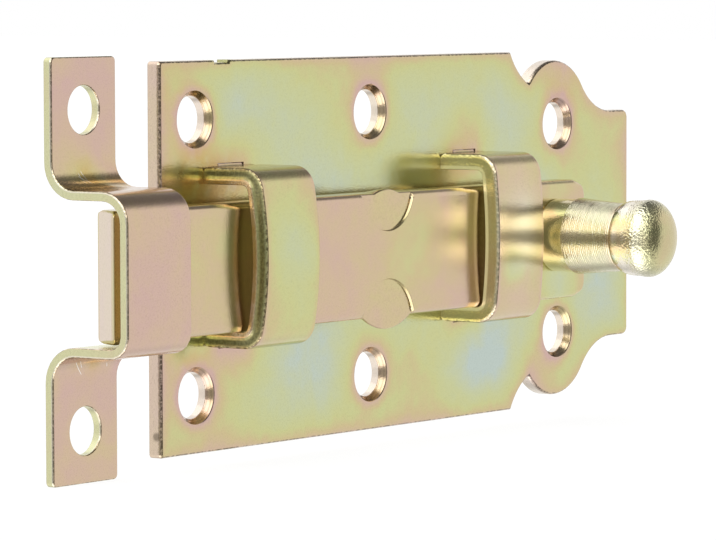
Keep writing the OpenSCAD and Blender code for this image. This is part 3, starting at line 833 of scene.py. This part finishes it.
def keeper_sheet(settings, places):
    """A strap blank with rounded corners and two holes, bent into a hat: tab, hollow bend, side, bend, front,
    and the same back."""
    keeper = settings.keeper
    hole_in, hole_deep, back, near_edge = 0.16 * MM, 0.2 * MM, 0.1 * MM, 1.2 * MM
    mid = keeper.thick / 2
    hollow = keeper.tab_bend + mid
    tab_deep = keeper.tab_bend + keeper.thick
    quarter = math.pi / 2
    lower_tab = places.hat_bottom - keeper.tab_bend - places.keeper_low
    upper_tab = places.keeper_high - places.hat_top - keeper.tab_bend
    legs = [
        (lower_tab, 0),
        (hollow * quarter, 90),
        (places.hat_depth - keeper.hat_bottom - tab_deep, 0),
        ((keeper.hat_bottom - mid) * quarter, -90),
        (places.hat_top - keeper.hat_top - places.hat_bottom - keeper.hat_bottom, 0),
        ((keeper.hat_top - mid) * quarter, -90),
        (places.hat_depth - keeper.hat_top - tab_deep, 0),
        (hollow * quarter, 90),
        (upper_tab, 0),
    ]
    path, total = strap_path((-mid, places.keeper_low), 90, legs)
    half = total / 2
    left, right, corner = places.keeper_left, places.keeper_right, keeper.corner
    turns = [
        arc((x, z), corner, start, start + 90, 0.15 * MM)
        for x, z, start in (
            (left + corner, -half + corner, 180),
            (right - corner, -half + corner, 270),
            (right - corner, half - corner, 0),
            (left + corner, half - corner, 90),
        )
    ]
    middle = (left + right) / 2
    hole_low = places.keeper_mid - keeper.hole_span / 2 - places.keeper_low - half
    hole_high = half - (places.keeper_high - places.keeper_mid - keeper.hole_span / 2)
    rim = edge_rows(keeper.thick, keeper.rim, keeper.rim, back)
    edge = edge_rows(keeper.thick, hole_in, hole_deep, SHARP)
    holes = [(arc((middle, v), keeper.hole / 2, 360, 0, 0.2 * MM)[:-1], edge) for v in (hole_low, hole_high)]
    spots, golden = patches(KEEPER_FILM), patches(KEEPER_BEND_REFLECTION)

    def look(flat, away):
        from_middle = columns(flat[:, 0] - middle, flat[:, 1])
        inner = np.where(flat[:, 2] < -0.5 * keeper.thick, 1.0, 0.0)
        # Inner faces take glow, painted light from the narrow gap round the bar; the outer face takes the
        # golden tint painted as reflection in the hollow bends
        film = 0.08 + spots(from_middle) + 0.04 * np.exp(-away / near_edge) + 0.35 * inner
        return looks(film, 0.0, 0.02, golden(from_middle) * (1 - inner), 0.25 * inner)

    def edge_look(flat, deep):
        # Painted highlight: the cut is washed pale next to the face
        return looks(0.50 + 0.0 * deep, 0.0, 0.25 + 0.65 * eased(0.26, 0.18, deep))

    place = strap_place(path, half, keeper.thick)
    return Sheet((closed(*turns), rim), holes, keeper.thick, place, look, edge_look, 0.7 * MM)


# Bar


def bar_place(settings, places):
    """u is X, v is Z. The face sinks inside the punch marks, the edges swell beside them as arcs that shrink
    with depth, and the nose is drawn back in proportion to depth."""
    bar = settings.bar
    nose_long = 6 * MM
    stops = (
        (places.bar_top, 1, bar.upper_swell, bar.upper_radius),
        (places.bar_bottom, -1, bar.lower_swell, bar.lower_radius),
    )

    def place(flat):
        u, v, up = flat[:, 0].copy(), flat[:, 1].copy(), flat[:, 2].copy()
        for edge, side, height, radius in stops:
            away = np.hypot(u - places.stop_x, v - edge - side * bar.punch_out)
            sunk = eased(bar.punch + SHARP, bar.punch - SHARP, away)
            deep = np.clip((-up - bar.punch_deep) / bar.swell_deep, 0, 1)
            arc_radius = radius - height * deep
            rise = np.sqrt(np.clip(arc_radius**2 - (u - places.stop_x) ** 2, 0, None)) - (radius - height)
            near = eased(edge * side - bar.edge, edge * side - 0.15 * bar.edge, v * side)
            v = v + side * np.clip(rise, 0, None) * near
            up = np.minimum(up, -bar.punch_deep * sunk)
        fade = np.clip((places.nose + nose_long - u) / nose_long, 0, 1)
        u = u + bar.bevel * fade * np.clip(-flat[:, 2] / bar.thick, 0, 1)
        return columns(u, -places.bar_face - up, v)

    return place


BAR_FILM = (
    (-9, 0, 6, 0.26), (-13.4, 5, 4, 0.12), (-13.4, -6, 4, 0.08), (-48, 0, 9, 0.14), (4, 3, 5, 0.1),
    (24, -6.5, 5, 0.55), (24, 6.5, 4, 0.22),
)


def bar_sheet(settings, places):
    """The flat bar: rounded more along its edges than round its ends, with a hole for the knob's shank."""
    bar = settings.bar
    low, high, nose, end = places.bar_bottom, places.bar_top, places.nose, places.bar_end
    turns = [
        arc((x, z), radius, start, start + 90, 0.1 * MM)
        for x, z, radius, start in (
            (nose + bar.nose_corner, low + bar.nose_corner, bar.nose_corner, 180),
            (end - bar.tail_corner, low + bar.tail_corner, bar.tail_corner, 270),
            (end - bar.tail_corner, high - bar.tail_corner, bar.tail_corner, 0),
            (nose + bar.nose_corner, high - bar.nose_corner, bar.nose_corner, 90),
        )
    ]
    reach = bar.lower_radius * 0.65
    fine = np.arange(places.stop_x - reach, places.stop_x + reach, 0.12 * MM)
    below = columns(fine, np.full(len(fine), low))
    above = columns(fine[::-1], np.full(len(fine), high))
    line = closed(turns[0], below, turns[1], turns[2], above, turns[3])
    steep = np.abs(outward(line)[:, 1])
    radius = bar.rim + (bar.edge - bar.rim) * eased(0.55, 0.98, steep)
    rows = edge_rows(bar.thick, radius, radius, radius)
    hole = arc((places.knob_x, places.knob_z), bar.shank / 2, 360, 0)[:-1]
    plain = edge_rows(bar.thick, SHARP, SHARP, SHARP)
    marks = [
        arc((places.stop_x, edge), bar.punch + offset * MM, 0, 360, 0.2 * MM)[:-1]
        for edge in (high + bar.punch_out, low - bar.punch_out)
        for offset in (-0.1, -0.05, -0.025, 0.0, 0.025, 0.05, 0.1)
    ]
    spots = patches(BAR_FILM)

    def look(flat, away):
        return looks(0.18 + spots(flat) - 0.03 * np.exp(-away / (1.5 * MM)), 0.0, 0.02)

    def edge_look(flat, deep):
        """The nose's end is painted pale, a painted reflection of the bright surroundings, between two darker
        borders.
        """
        end = eased(0.4 * MM, 0.1 * MM, flat[..., 0] - places.nose)
        border = np.maximum(eased(0.2, 0.1, deep), eased(0.86, 0.94, deep))
        return looks(0.25 + end * (0.35 * border - 0.15), 0.0, 0.95 * end * (1 - 0.7 * border))

    place = bar_place(settings, places)
    return Sheet((line, rows, None, 0.0), [(hole, plain)], bar.thick, place, look, edge_look, 0.8 * MM, marks)


# Knob


def turned(name, rows, normals, centre, around, fields):
    """A body of revolution about a line along -Y: point = centre + r (cos a, 0, sin a), at depth d, for the
    rows (r, d) from pole to pole. The two poles are single points."""
    angle = np.linspace(0, 2 * math.pi, around, endpoint=False)
    cos, sin = np.cos(angle), np.sin(angle)
    body, slope = rows[1:-1], normals[1:-1]
    x, z = body[:, :1] * cos + centre[0], body[:, :1] * sin + centre[1]
    points = columns(x, np.broadcast_to(-body[:, 1:], x.shape), z).reshape(-1, 3)
    out = columns(slope[:, :1] * cos, np.broadcast_to(-slope[:, 1:], x.shape), slope[:, :1] * sin)
    first = len(points)
    points = np.concatenate((points, [(centre[0], -rows[pole, 1], centre[1]) for pole in (0, -1)]))
    out = np.concatenate((out.reshape(-1, 3), [(0, 1, 0), (0, -1, 0)]))
    number = np.arange(first).reshape(len(body), around)
    beside = np.roll(number, -1, axis=1)
    quads = np.stack((number[:-1], beside[:-1], beside[1:], number[1:]), axis=2).reshape(-1, 4)
    back = columns(np.full(around, first), beside[0], number[0])
    front = columns(np.full(around, first + 1), number[-1], beside[-1])
    spread = {
        field: np.concatenate((np.repeat(values[1:-1], around), (values[0], values[-1])))
        for field, values in fields.items()
    }
    return solid(name, points, out, [quads, np.concatenate((back, front))], spread)


def knob_rows(settings, places):
    """Half outline of the knob as rows (radius, depth), and the depths where neck and head begin. It runs
    over the rivet head, shank, collar, neck with cosine grooves of uneven depth, rounded shoulder, conical
    band, and a dome in the form of a quarter ellipse."""
    bar, knob = settings.bar, settings.knob
    hair, collar_round, cap_round, flare_high = 0.01 * MM, 0.3 * MM, 0.12 * MM, 0.78 * MM
    face = places.bar_face
    back = face - bar.thick
    shank, rivet, collar = bar.shank / 2, knob.rivet / 2, knob.collar / 2
    cap = shank * 1.06
    neck_at = face + knob.collar_long
    head_at = neck_at + knob.neck_long
    head_foot = knob.neck_top / 2 + knob.step
    quarter = np.linspace(0, math.pi / 2, 12)

    def bulge(inner, outer, start, end):
        """A quarter ellipse that runs outwards at first and along the axis at its end."""
        radius = inner + (outer - inner) * np.sin(quarter)
        return columns(radius, start + (end - start) * (1 - np.cos(quarter)))

    flare = columns(cap + (rivet - cap) * np.sin(quarter), back - flare_high * np.cos(quarter) ** 1.3)
    t = np.linspace(0, 1, knob.grooves * 8 + 1)
    uneven = 0.55 + 0.45 * np.sin(t * 37.0 + 1.3) * np.sin(t * 11.0 + 0.4)
    wave = 0.5 - 0.5 * np.cos(2 * math.pi * knob.grooves * t)
    radius = (knob.neck_foot + (knob.neck_top - knob.neck_foot) * t) / 2 - knob.groove * wave * uneven
    sweep = np.linspace(0, math.pi / 2, 48)
    dome = columns(knob.head / 2 * np.cos(sweep), head_at + knob.head_back + knob.dome * np.sin(sweep))
    parts = [
        bulge(0.0, cap, back - knob.rivet_high, back - knob.rivet_high + cap_round),
        flare[1:],
        [(rivet - 2 * hair, back), (shank, back + hair)],
        [(shank, face - hair), (collar - collar_round - 2 * hair, face)],
        bulge(collar - collar_round, collar, face, face + collar_round),
        [(collar, neck_at - 0.15 * MM), (collar + 0.03 * MM, neck_at - 0.05 * MM)],
        columns(radius, neck_at + knob.neck_long * t),
        bulge(head_foot, (knob.head - knob.taper) / 2, head_at, head_at + knob.shoulder),
        dome,
    ]
    return np.concatenate(parts), neck_at, head_at


def knob_fields(knob, depth, neck_at, head_at):
    """The knob's look by depth: plain collar brightened by painted light, ridged neck darkened by painted
    shade, golden line at the head's foot, pitted head with a painted highlight washed pale on its side, and a
    smooth dome with painted shade at its top."""
    top = depth.max()
    past_head = depth - head_at
    collar = eased(neck_at + 0.1 * MM, neck_at - 0.1 * MM, depth)
    ridged = eased(neck_at - 0.2 * MM, neck_at + 0.2 * MM, depth) * eased(0.0, -0.4 * MM, past_head)
    film = 0.40 + 0.10 * eased(neck_at, head_at, depth) - 0.2 * np.exp(-((past_head / (0.7 * MM)) ** 2))
    film -= 0.16 * eased(head_at + knob.head_back, top, depth)
    # pale: the film is paler all over, less on the neck and the dome, and on the head's side a painted
    # highlight is washed in
    pale = 0.6 - 0.1 * ridged - 0.5 * eased(head_at + knob.head_back + 0.4 * MM, top - 0.5 * MM, depth)
    pale += 0.35 * eased(0.2 * MM, 0.8 * MM, past_head) * eased(4 * MM, 2 * MM, past_head)
    past_dome = past_head - knob.head_back
    pitted = 0.06 * ridged + 0.9 * eased(1.8 * MM, 3.0 * MM, past_head)
    return {
        "film": film,
        # Painted shade on the dome's top and the ridged neck
        "shade": 0.1 * eased(top - 1.2 * MM, top, depth) + 0.14 * ridged,
        "pale": pale,
        "gold": 0.28 * np.exp(-((past_head / (0.35 * MM)) ** 2)) + 0.15 * collar,
        # Painted light on the collar
        "glow": 0.3 * collar,
        "cut": np.zeros(len(depth)),
        "ridged": ridged,
        "pitted": pitted * (1 - 0.85 * eased(1.9 * MM, 2.45 * MM, past_dome)),
    }


def row_normals(rows):
    """Outward normals (radial, depth) of a half outline, square to its chords, with the poles on the axis."""
    run = np.empty_like(rows)
    run[1:-1] = rows[2:] - rows[:-2]
    run[0], run[-1] = (1, 0), (-1, 0)
    run /= np.linalg.norm(run, axis=1, keepdims=True)
    return columns(run[:, 1], -run[:, 0])


# Shaders


class Term:
    """A socket that takes part in maths: each operator adds a Math node."""

    def __init__(self, nodes, socket):
        self.nodes, self.socket = nodes, socket

    def maths(self, operation, *others):
        return self.nodes.term("ShaderNodeMath", {"operation": operation}, dict(enumerate((self, *others))))

    def __add__(self, other):
        return self.maths("ADD", other)

    def __sub__(self, other):
        return self.maths("SUBTRACT", other)

    def __mul__(self, other):
        return self.maths("MULTIPLY", other)

    def __rsub__(self, other):
        return self.maths("MULTIPLY_ADD", -1.0, other)

    def __truediv__(self, other):
        return self.maths("DIVIDE", other)

    __radd__ = __add__
    __rmul__ = __mul__

    def eased(self, low, high):
        """0 at low and 1 at high, smoothly."""
        settings = {"interpolation_type": "SMOOTHSTEP"}
        values = {"Value": self, "From Min": low, "From Max": high, "To Min": 0.0, "To Max": 1.0}
        return self.nodes.term("ShaderNodeMapRange", settings, values)


class Nodes:
    """An emptied node tree with one method that adds any node."""

    def __init__(self, owner):
        owner.use_nodes = True
        self.tree = owner.node_tree
        self.tree.nodes.clear()

    def add(self, kind, settings=None, sockets=None):
        """Adds a node: its settings first, a ramp's stops among them, then its sockets' values or links."""
        node = self.tree.nodes.new(kind)
        for name, value in (settings or {}).items():
            if name == "stops":
                ramp = node.color_ramp
                while len(ramp.elements) < len(value):
                    ramp.elements.new(0.5)
                for element, (place, colour) in zip(ramp.elements, value):
                    element.position = place
                    element.color = (*colour, 1.0)
            else:
                setattr(node, name, value)
        for name, value in (sockets or {}).items():
            if isinstance(value, Term):
                self.tree.links.new(value.socket, node.inputs[name])
            else:
                node.inputs[name].default_value = value
        return node

    def term(self, kind, settings=None, sockets=None, output=0):
        return Term(self, self.add(kind, settings, sockets).outputs[output])

    def vectors(self, operation, first, second, output="Value"):
        return self.term("ShaderNodeVectorMath", {"operation": operation}, {0: first, 1: second}, output)

    def mixed(self, factor, first, second):
        """A colour between two, by factor."""
        sockets = {0: factor, 6: first, 7: second}
        return self.term("ShaderNodeMix", {"data_type": "RGBA"}, sockets, 2)


def scratch(nodes, at, start, end, normal):
    """1 on a scratch between two points, in mm, in the plane of its line and the surface's normal: the
    distance across that plane is small, and the distance along the line lies between the ends."""
    faded, outer, inner = 0.3 * MM, 0.06 * MM, 0.02 * MM
    start, end = Vector(start) * MM, Vector(end) * MM
    along = (end - start).normalized()
    across = along.cross(Vector(normal)).normalized()
    offset = nodes.vectors("SUBTRACT", at, start, "Vector")
    run = nodes.vectors("DOT_PRODUCT", offset, along)
    ends = run.eased(0.0, faded) * run.eased((end - start).length, (end - start).length - faded)
    return nodes.vectors("DOT_PRODUCT", offset, across).maths("ABSOLUTE").eased(outer, inner) * ends


PALE = (0.84, 0.78, 0.68, 1.0)
GOLDEN = (0.61, 0.39, 0.11, 1.0)
DARK = (0.045, 0.032, 0.014, 1.0)
BARE = (0.95, 0.93, 0.86, 1.0)
# Colour of the painted light that the field glow adds as emission
PAINTED_LIGHT = (0.27, 0.26, 0.11, 1.0)
BLACK = (0.0, 0.0, 0.0, 1.0)


def zinc(name, finish, grain=1.0, ridges=False, stains=(), scratches=()):
    """Passivated zinc. The film's thickness is the piece's own field plus clouds, and a ramp turns it into
    colour. Where the field cut says that the normal turns away from the face, the rim is painted speckled
    dark, as painted shade for the dark that a rolled rim reflects, and cut edges are coarser. The fields
    shade, pale and gold darken, wash out and stain the colour: shade is painted shade, and on the front
    guide's cut also the darker fracture; pale is in places a painted highlight, and gold in places a painted
    reflection. glow
    is painted light: an emission that stands in for the light that many reflections carry into a narrow gap,
    and that also brightens some cut faces and the knob's collar. ridges adds broken turning marks and pits
    where the fields ridged and pitted say so. stains are (x, y, z, size, strength) in mm, and scratches are
    (start, end, normal), with the ends in mm."""
    material = bpy.data.materials.new(name)
    nodes = Nodes(material)
    at = nodes.term("ShaderNodeTexCoord", output="Object")

    def field(name):
        return nodes.term("ShaderNodeAttribute", {"attribute_name": name}, output="Fac")

    def noise(size, detail=2.0, distortion=0.0, place=at):
        values = {"Vector": place, "Scale": 1 / size, "Detail": detail, "Distortion": distortion}
        return nodes.term("ShaderNodeTexNoise", {}, values, "Fac")

    film, shade, pale, gold, glow, cut = (field(name) for name in FIELDS)
    cloud = noise(finish.cloud, 3.0, 0.6)
    wisp = noise(finish.cloud / 4, 3.0, 0.3)
    dust = noise(0.5 * MM, 2.0)
    speckle = noise(finish.speckle, 2.0)
    pits = noise(finish.pits, 2.0)
    ripple = noise(finish.peel, 1.0)
    thickness = film + (cloud - 0.5) * finish.cloud_share + (wisp - 0.5) * 0.16 + (dust - 0.5) * 0.05
    stops = [(k / 6, tuple(getattr(finish, f"film_{k}"))) for k in range(7)]
    colour = nodes.term("ShaderNodeValToRGB", {"stops": stops}, {"Fac": thickness}, "Color")
    # pale is in places a painted highlight, and gold in places a painted reflection
    colour = nodes.mixed(pale, colour, PALE)
    colour = nodes.mixed(gold * wisp.eased(0.25, 0.6), colour, GOLDEN)
    # Painted shade: rolled rims and the field shade darken the colour; the fine grain and the stains add
    # their own dark specks
    rim = cut.eased(0.03, 0.15) * cut.eased(0.85, 0.45)
    dark = rim * pits.eased(0.60, 0.44) * (1 - pale) * 0.8
    dark = dark.maths("MAXIMUM", shade * (0.72 + pits.eased(0.62, 0.42) * 0.28))
    dark = dark.maths("MAXIMUM", speckle.eased(0.52, 0.30) * 0.06)
    for x, y, z, size, strength in stains:
        far = nodes.vectors("DISTANCE", at, (x * MM, y * MM, z * MM))
        dark = dark.maths("MAXIMUM", far.eased(size * MM, size * 0.4 * MM) * strength)
    colour = nodes.mixed(dark, colour, DARK)
    for start, end, normal in scratches:
        colour = nodes.mixed(scratch(nodes, at, start, end, normal) * 0.8, colour, BARE)
    roughness = (dust - 0.5) * 0.08 + cut * 0.08 + dark * 0.1 + shade * 0.1 + finish.rough
    height = speckle * (finish.speckle_high * grain) + ripple * finish.peel_high
    height = height + cut * pits * (finish.speckle_high * 3.5)
    if ridges:
        stretched = nodes.term("ShaderNodeMapping", {}, {"Vector": at, "Scale": (1.0, 7.0, 1.0)}, "Vector")
        height = height + noise(1.3 * MM, 2.0, 0.0, stretched) * field("ridged") * (0.022 * MM)
        height = height + pits * field("pitted") * finish.pits_high
    bump = nodes.term("ShaderNodeBump", {}, {"Strength": 1.0, "Distance": 1.0, "Height": height}, "Normal")
    shader = nodes.term(
        "ShaderNodeBsdfPrincipled",
        {},
        {
            "Base Color": colour,
            "Metallic": 1.0,
            "Roughness": roughness,
            "Normal": bump,
            # Painted light: glow makes the metal emit
            "Emission Color": nodes.mixed(glow, BLACK, PAINTED_LIGHT),
            "Emission Strength": 1.0,
        },
    )
    nodes.add("ShaderNodeOutputMaterial", {}, {"Surface": shader})
    return material


def finished(piece, node, body, material):
    """Gives a piece its material, and lets it stand for its CAD node and ride on its body."""
    piece.data.materials.append(material)
    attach(piece, body)
    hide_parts(node)


# Operators


class PlateOperator(Operator):
    """Builds the blanked back plate"""

    bl_idname = "door_bolt.plate"
    bl_label = "Back plate"

    def execute(self, context):
        settings = context.scene.door_bolt
        piece = plate_sheet(settings, Places(settings)).mesh("back_plate")
        material = zinc("plate_zinc", settings.finish, stains=PLATE_STAINS)
        finished(piece, "mounting_plate", "plate", material)
        return {"FINISHED"}


class GuidesOperator(Operator):
    """Builds the two riveted guides"""

    bl_idname = "door_bolt.guides"
    bl_label = "Guides"

    def execute(self, context):
        settings = context.scene.door_bolt
        guide, places = settings.guide, Places(settings)
        material = zinc("guide_zinc", settings.finish)
        front = guide_sheet(
            settings, places, places.end + guide.front_x, guide.front_crown, places.front_bend, 0.0,
            guide.front_burr, FRONT_FILM, (), self.torn,
        )
        rear = guide_sheet(
            settings, places, places.end + guide.rear_x, guide.rear_crown, places.rear_bend, guide.lean,
            guide.rear_burr, REAR_FILM, REAR_PAINTED_HIGHLIGHTS, self.sheared,
        )
        finished(front.mesh("guide_front"), "front_guide", "plate", material)
        finished(rear.mesh("guide_rear"), "rear_guide", "plate", material)
        return {"FINISHED"}

    @staticmethod
    def torn(flat, deep):
        """The front guide's cut: a dark torn zone, darker still at the face's rim, its darkness partly the
        rough fracture and partly painted shade, and a coppery sheared band inside.
        """
        inner = eased(0.66, 0.72, deep)
        outer = eased(0.30, 0.12, deep)
        return looks(0.62 - 0.46 * inner, (0.66 + 0.24 * outer) * (1 - inner), 0.5 * inner, 0.7 * inner)

    @staticmethod
    def sheared(flat, deep):
        """The rear guide's cut: a pale line at the face and a pale band inside, both painted highlights, and
        a golden yellow zone between; glow adds painted light, most of it to the inner band and the line at
        the face.
        """
        inner = eased(0.72, 0.80, deep)
        outer = eased(0.16, 0.09, deep)
        middle = (1 - inner) * (1 - outer)
        pale = 0.15 + 0.75 * outer + 0.55 * inner
        glow = 1.2 * inner + 0.3 * middle + 0.8 * outer
        return looks(0.46 - 0.16 * inner, 0.0, pale, 0.3 * middle, glow)


class BarOperator(Operator):
    """Builds the sliding bar with its punched stops"""

    bl_idname = "door_bolt.bar"
    bl_label = "Sliding bar"

    def execute(self, context):
        settings = context.scene.door_bolt
        piece = bar_sheet(settings, Places(settings)).mesh("sliding_bar")
        finished(piece, "bolt_bar", "bolt", zinc("bar_zinc", settings.finish))
        return {"FINISHED"}


class KnobOperator(Operator):
    """Builds the turned knob"""

    bl_idname = "door_bolt.knob"
    bl_label = "Turned knob"

    def execute(self, context):
        settings = context.scene.door_bolt
        knob, places = settings.knob, Places(settings)
        rows, neck_at, head_at = knob_rows(settings, places)
        centre = (places.knob_x, places.knob_z)
        fields = knob_fields(knob, rows[:, 1], neck_at, head_at)
        piece = turned("turned_knob", rows, row_normals(rows), centre, knob.around, fields)
        material = zinc("knob_zinc", settings.finish, grain=2.0, ridges=True)
        finished(piece, "knob", "bolt", material)
        return {"FINISHED"}


class KeeperOperator(Operator):
    """Builds the bent keeper"""

    bl_idname = "door_bolt.keeper"
    bl_label = "Keeper"

    def execute(self, context):
        settings = context.scene.door_bolt
        piece = keeper_sheet(settings, Places(settings)).mesh("bent_keeper")
        material = zinc("keeper_zinc", settings.finish, scratches=KEEPER_SCRATCHES)
        finished(piece, "keeper", "plate", material)
        return {"FINISHED"}


SOFTBOX_AT, SOFTBOX_SIZE = (-0.06, 0.5, 0.62), (0.8, 0.5)
MATT_WHITE, WHITE, SHOWN_WHITE = (0.85, 0.85, 0.85, 1.0), (1.0, 1.0, 1.0, 1.0), 1.06


class StageOperator(Operator):
    """Sets up the floor, the lights and the camera"""

    bl_idname = "door_bolt.stage"
    bl_label = "Stage"

    def execute(self, context):
        stage = context.scene.door_bolt.stage
        self.floor(stage)
        self.studio(stage)
        self.softbox("top_softbox", SOFTBOX_AT, SOFTBOX_SIZE, stage.top)
        self.camera(context, stage)
        context.scene.view_settings.view_transform = "Standard"
        return {"FINISHED"}

    def floor(self, stage):
        """The floor shows white to the camera and keeps a share of its lit shade. The metal looks past it,
        into the surroundings' lower half."""
        half, z = stage.floor_size / 2, stage.floor_z
        corners = [(x * half, y * half, z) for x, y in ((-1, -1), (1, -1), (1, 1), (-1, 1))]
        data = bpy.data.meshes.new("floor")
        data.from_pydata(corners, [], [(0, 1, 2, 3)])
        floor = bpy.data.objects.new("floor", data)
        floor.visible_glossy = False
        bpy.context.scene.collection.objects.link(floor)
        material = bpy.data.materials.new("floor_white")
        nodes = Nodes(material)
        camera = nodes.term("ShaderNodeLightPath", output="Is Camera Ray")
        matt = nodes.term("ShaderNodeBsdfDiffuse", {}, {"Color": MATT_WHITE})
        white = nodes.term("ShaderNodeEmission", {}, {"Color": WHITE, "Strength": SHOWN_WHITE})
        both = nodes.term("ShaderNodeMixShader", {}, {0: camera * stage.floor_glow, 1: matt, 2: white})
        nodes.add("ShaderNodeOutputMaterial", {}, {"Surface": both})
        data.materials.append(material)

    @staticmethod
    def surroundings(nodes, way, stage):
        """Brightness of the studio by direction. It is 1 all round, brighter high and low on the camera's
        left, dim in a low band round the camera, and unlit from the camera's right up to the zenith, except
        for the right-hand light that the flat faces show."""

        def towards(x, y, z):
            return nodes.vectors("DOT_PRODUCT", way, (x, y, z))

        across, deep, height = towards(1.0, 0.0, 0.0), towards(0.0, 1.0, 0.0), towards(0.0, 0.0, 1.0)
        ahead = deep.eased(0.46, 0.36)
        band = height.eased(-0.48, -0.34) * height.eased(0.36, 0.16)
        left = across.eased(0.08, -0.15)
        bright = left * (1 - band) * (deep.eased(0.45, 0.10) * stage.left + stage.above)
        behind = height.eased(0.45, 0.70) * deep.eased(0.35, 0.55) * across.eased(-0.15, 0.08) * stage.above
        right = towards(0.788, 0.616, -0.300).eased(-0.12, -0.02) * height.eased(0.60, 0.44)
        dark = across.eased(-0.08, 0.12) * (1 - right) * height.eased(-0.62, -0.30) * ahead * (1 - stage.dark)
        dim = left * band * ahead * stage.dim
        under = height.eased(-0.55, -0.75) * across.eased(0.0, 0.3) * stage.under
        return (bright + behind + 1.0) * (1 - dark.maths("MAXIMUM", dim)) * (1 - under)

    def studio(self, stage):
        """White all round for the camera, and the surroundings for the metal."""
        world = bpy.data.worlds.new("studio")
        bpy.context.scene.world = world
        nodes = Nodes(world)
        way = nodes.term("ShaderNodeTexCoord", output="Generated")
        camera = nodes.term("ShaderNodeLightPath", output="Is Camera Ray")
        strength = self.surroundings(nodes, way, stage) * (1 - camera) + camera
        light = nodes.term("ShaderNodeBackground", {}, {"Color": WHITE, "Strength": strength})
        nodes.add("ShaderNodeOutputWorld", {}, {"Surface": light})

    def softbox(self, name, place, size, radiance):
        """An area lamp that faces the origin. A face of area A needs a power of pi * A * radiance."""
        data = bpy.data.lights.new(name, "AREA")
        data.shape = "RECTANGLE"
        data.size, data.size_y = size
        data.energy = math.pi * size[0] * size[1] * radiance
        lamp = bpy.data.objects.new(name, data)
        lamp.location = place
        lamp.rotation_euler = (-Vector(place)).to_track_quat("-Z", "Y").to_euler()
        bpy.context.scene.collection.objects.link(lamp)

    def camera(self, context, stage):
        """The photographed view: heading, drop and roll turn the camera, and its place is in the frame."""
        turn, drop, roll = (math.radians(angle) for angle in (stage.azimuth, stage.drop, stage.roll))
        level = math.cos(drop)
        ahead = Vector((math.sin(turn) * level, math.cos(turn) * level, -math.sin(drop)))
        right = ahead.cross(Vector((0, 0, 1))).normalized()
        up = right.cross(ahead)
        across = math.cos(roll) * right + math.sin(roll) * up
        rise = math.cos(roll) * up - math.sin(roll) * right
        matrix = Matrix((across, rise, -ahead)).transposed().to_4x4()
        matrix.translation = Vector((stage.view_x, stage.view_y, stage.view_z))
        data = bpy.data.cameras.new("camera")
        data.sensor_width = 36
        data.lens = stage.focal
        data.clip_start, data.clip_end = 0.01, 50
        camera = bpy.data.objects.new("camera", data)
        camera.matrix_world = matrix
        context.scene.collection.objects.link(camera)
        context.scene.camera = camera


class DoorBoltPanel(Panel):
    """Lists the door bolt's operators in the sidebar"""

    bl_idname = "VIEW3D_PT_door_bolt"
    bl_label = "Door bolt"
    bl_space_type = "VIEW_3D"
    bl_region_type = "UI"
    bl_category = "Door bolt"

    def draw(self, context):
        for operator in OPERATORS:
            self.layout.operator(operator.bl_idname)


OPERATORS = (PlateOperator, GuidesOperator, BarOperator, KnobOperator, KeeperOperator, StageOperator)
GROUPS = (
    PlateSettings, GuideSettings, BarSettings, KnobSettings, KeeperSettings, FinishSettings, StageSettings,
    BoltSettings,
)


def register():
    for entry in GROUPS + OPERATORS + (DoorBoltPanel,):
        bpy.utils.register_class(entry)
    bpy.types.Scene.door_bolt = PointerProperty(type=BoltSettings)


def unregister():
    del bpy.types.Scene.door_bolt
    for entry in reversed(GROUPS + OPERATORS + (DoorBoltPanel,)):
        bpy.utils.unregister_class(entry)


def main():
    register()
    bpy.ops.door_bolt.plate()
    bpy.ops.door_bolt.guides()
    bpy.ops.door_bolt.bar()
    bpy.ops.door_bolt.knob()
    bpy.ops.door_bolt.keeper()
    bpy.ops.door_bolt.stage()


if __name__ == "__main__":
    main()
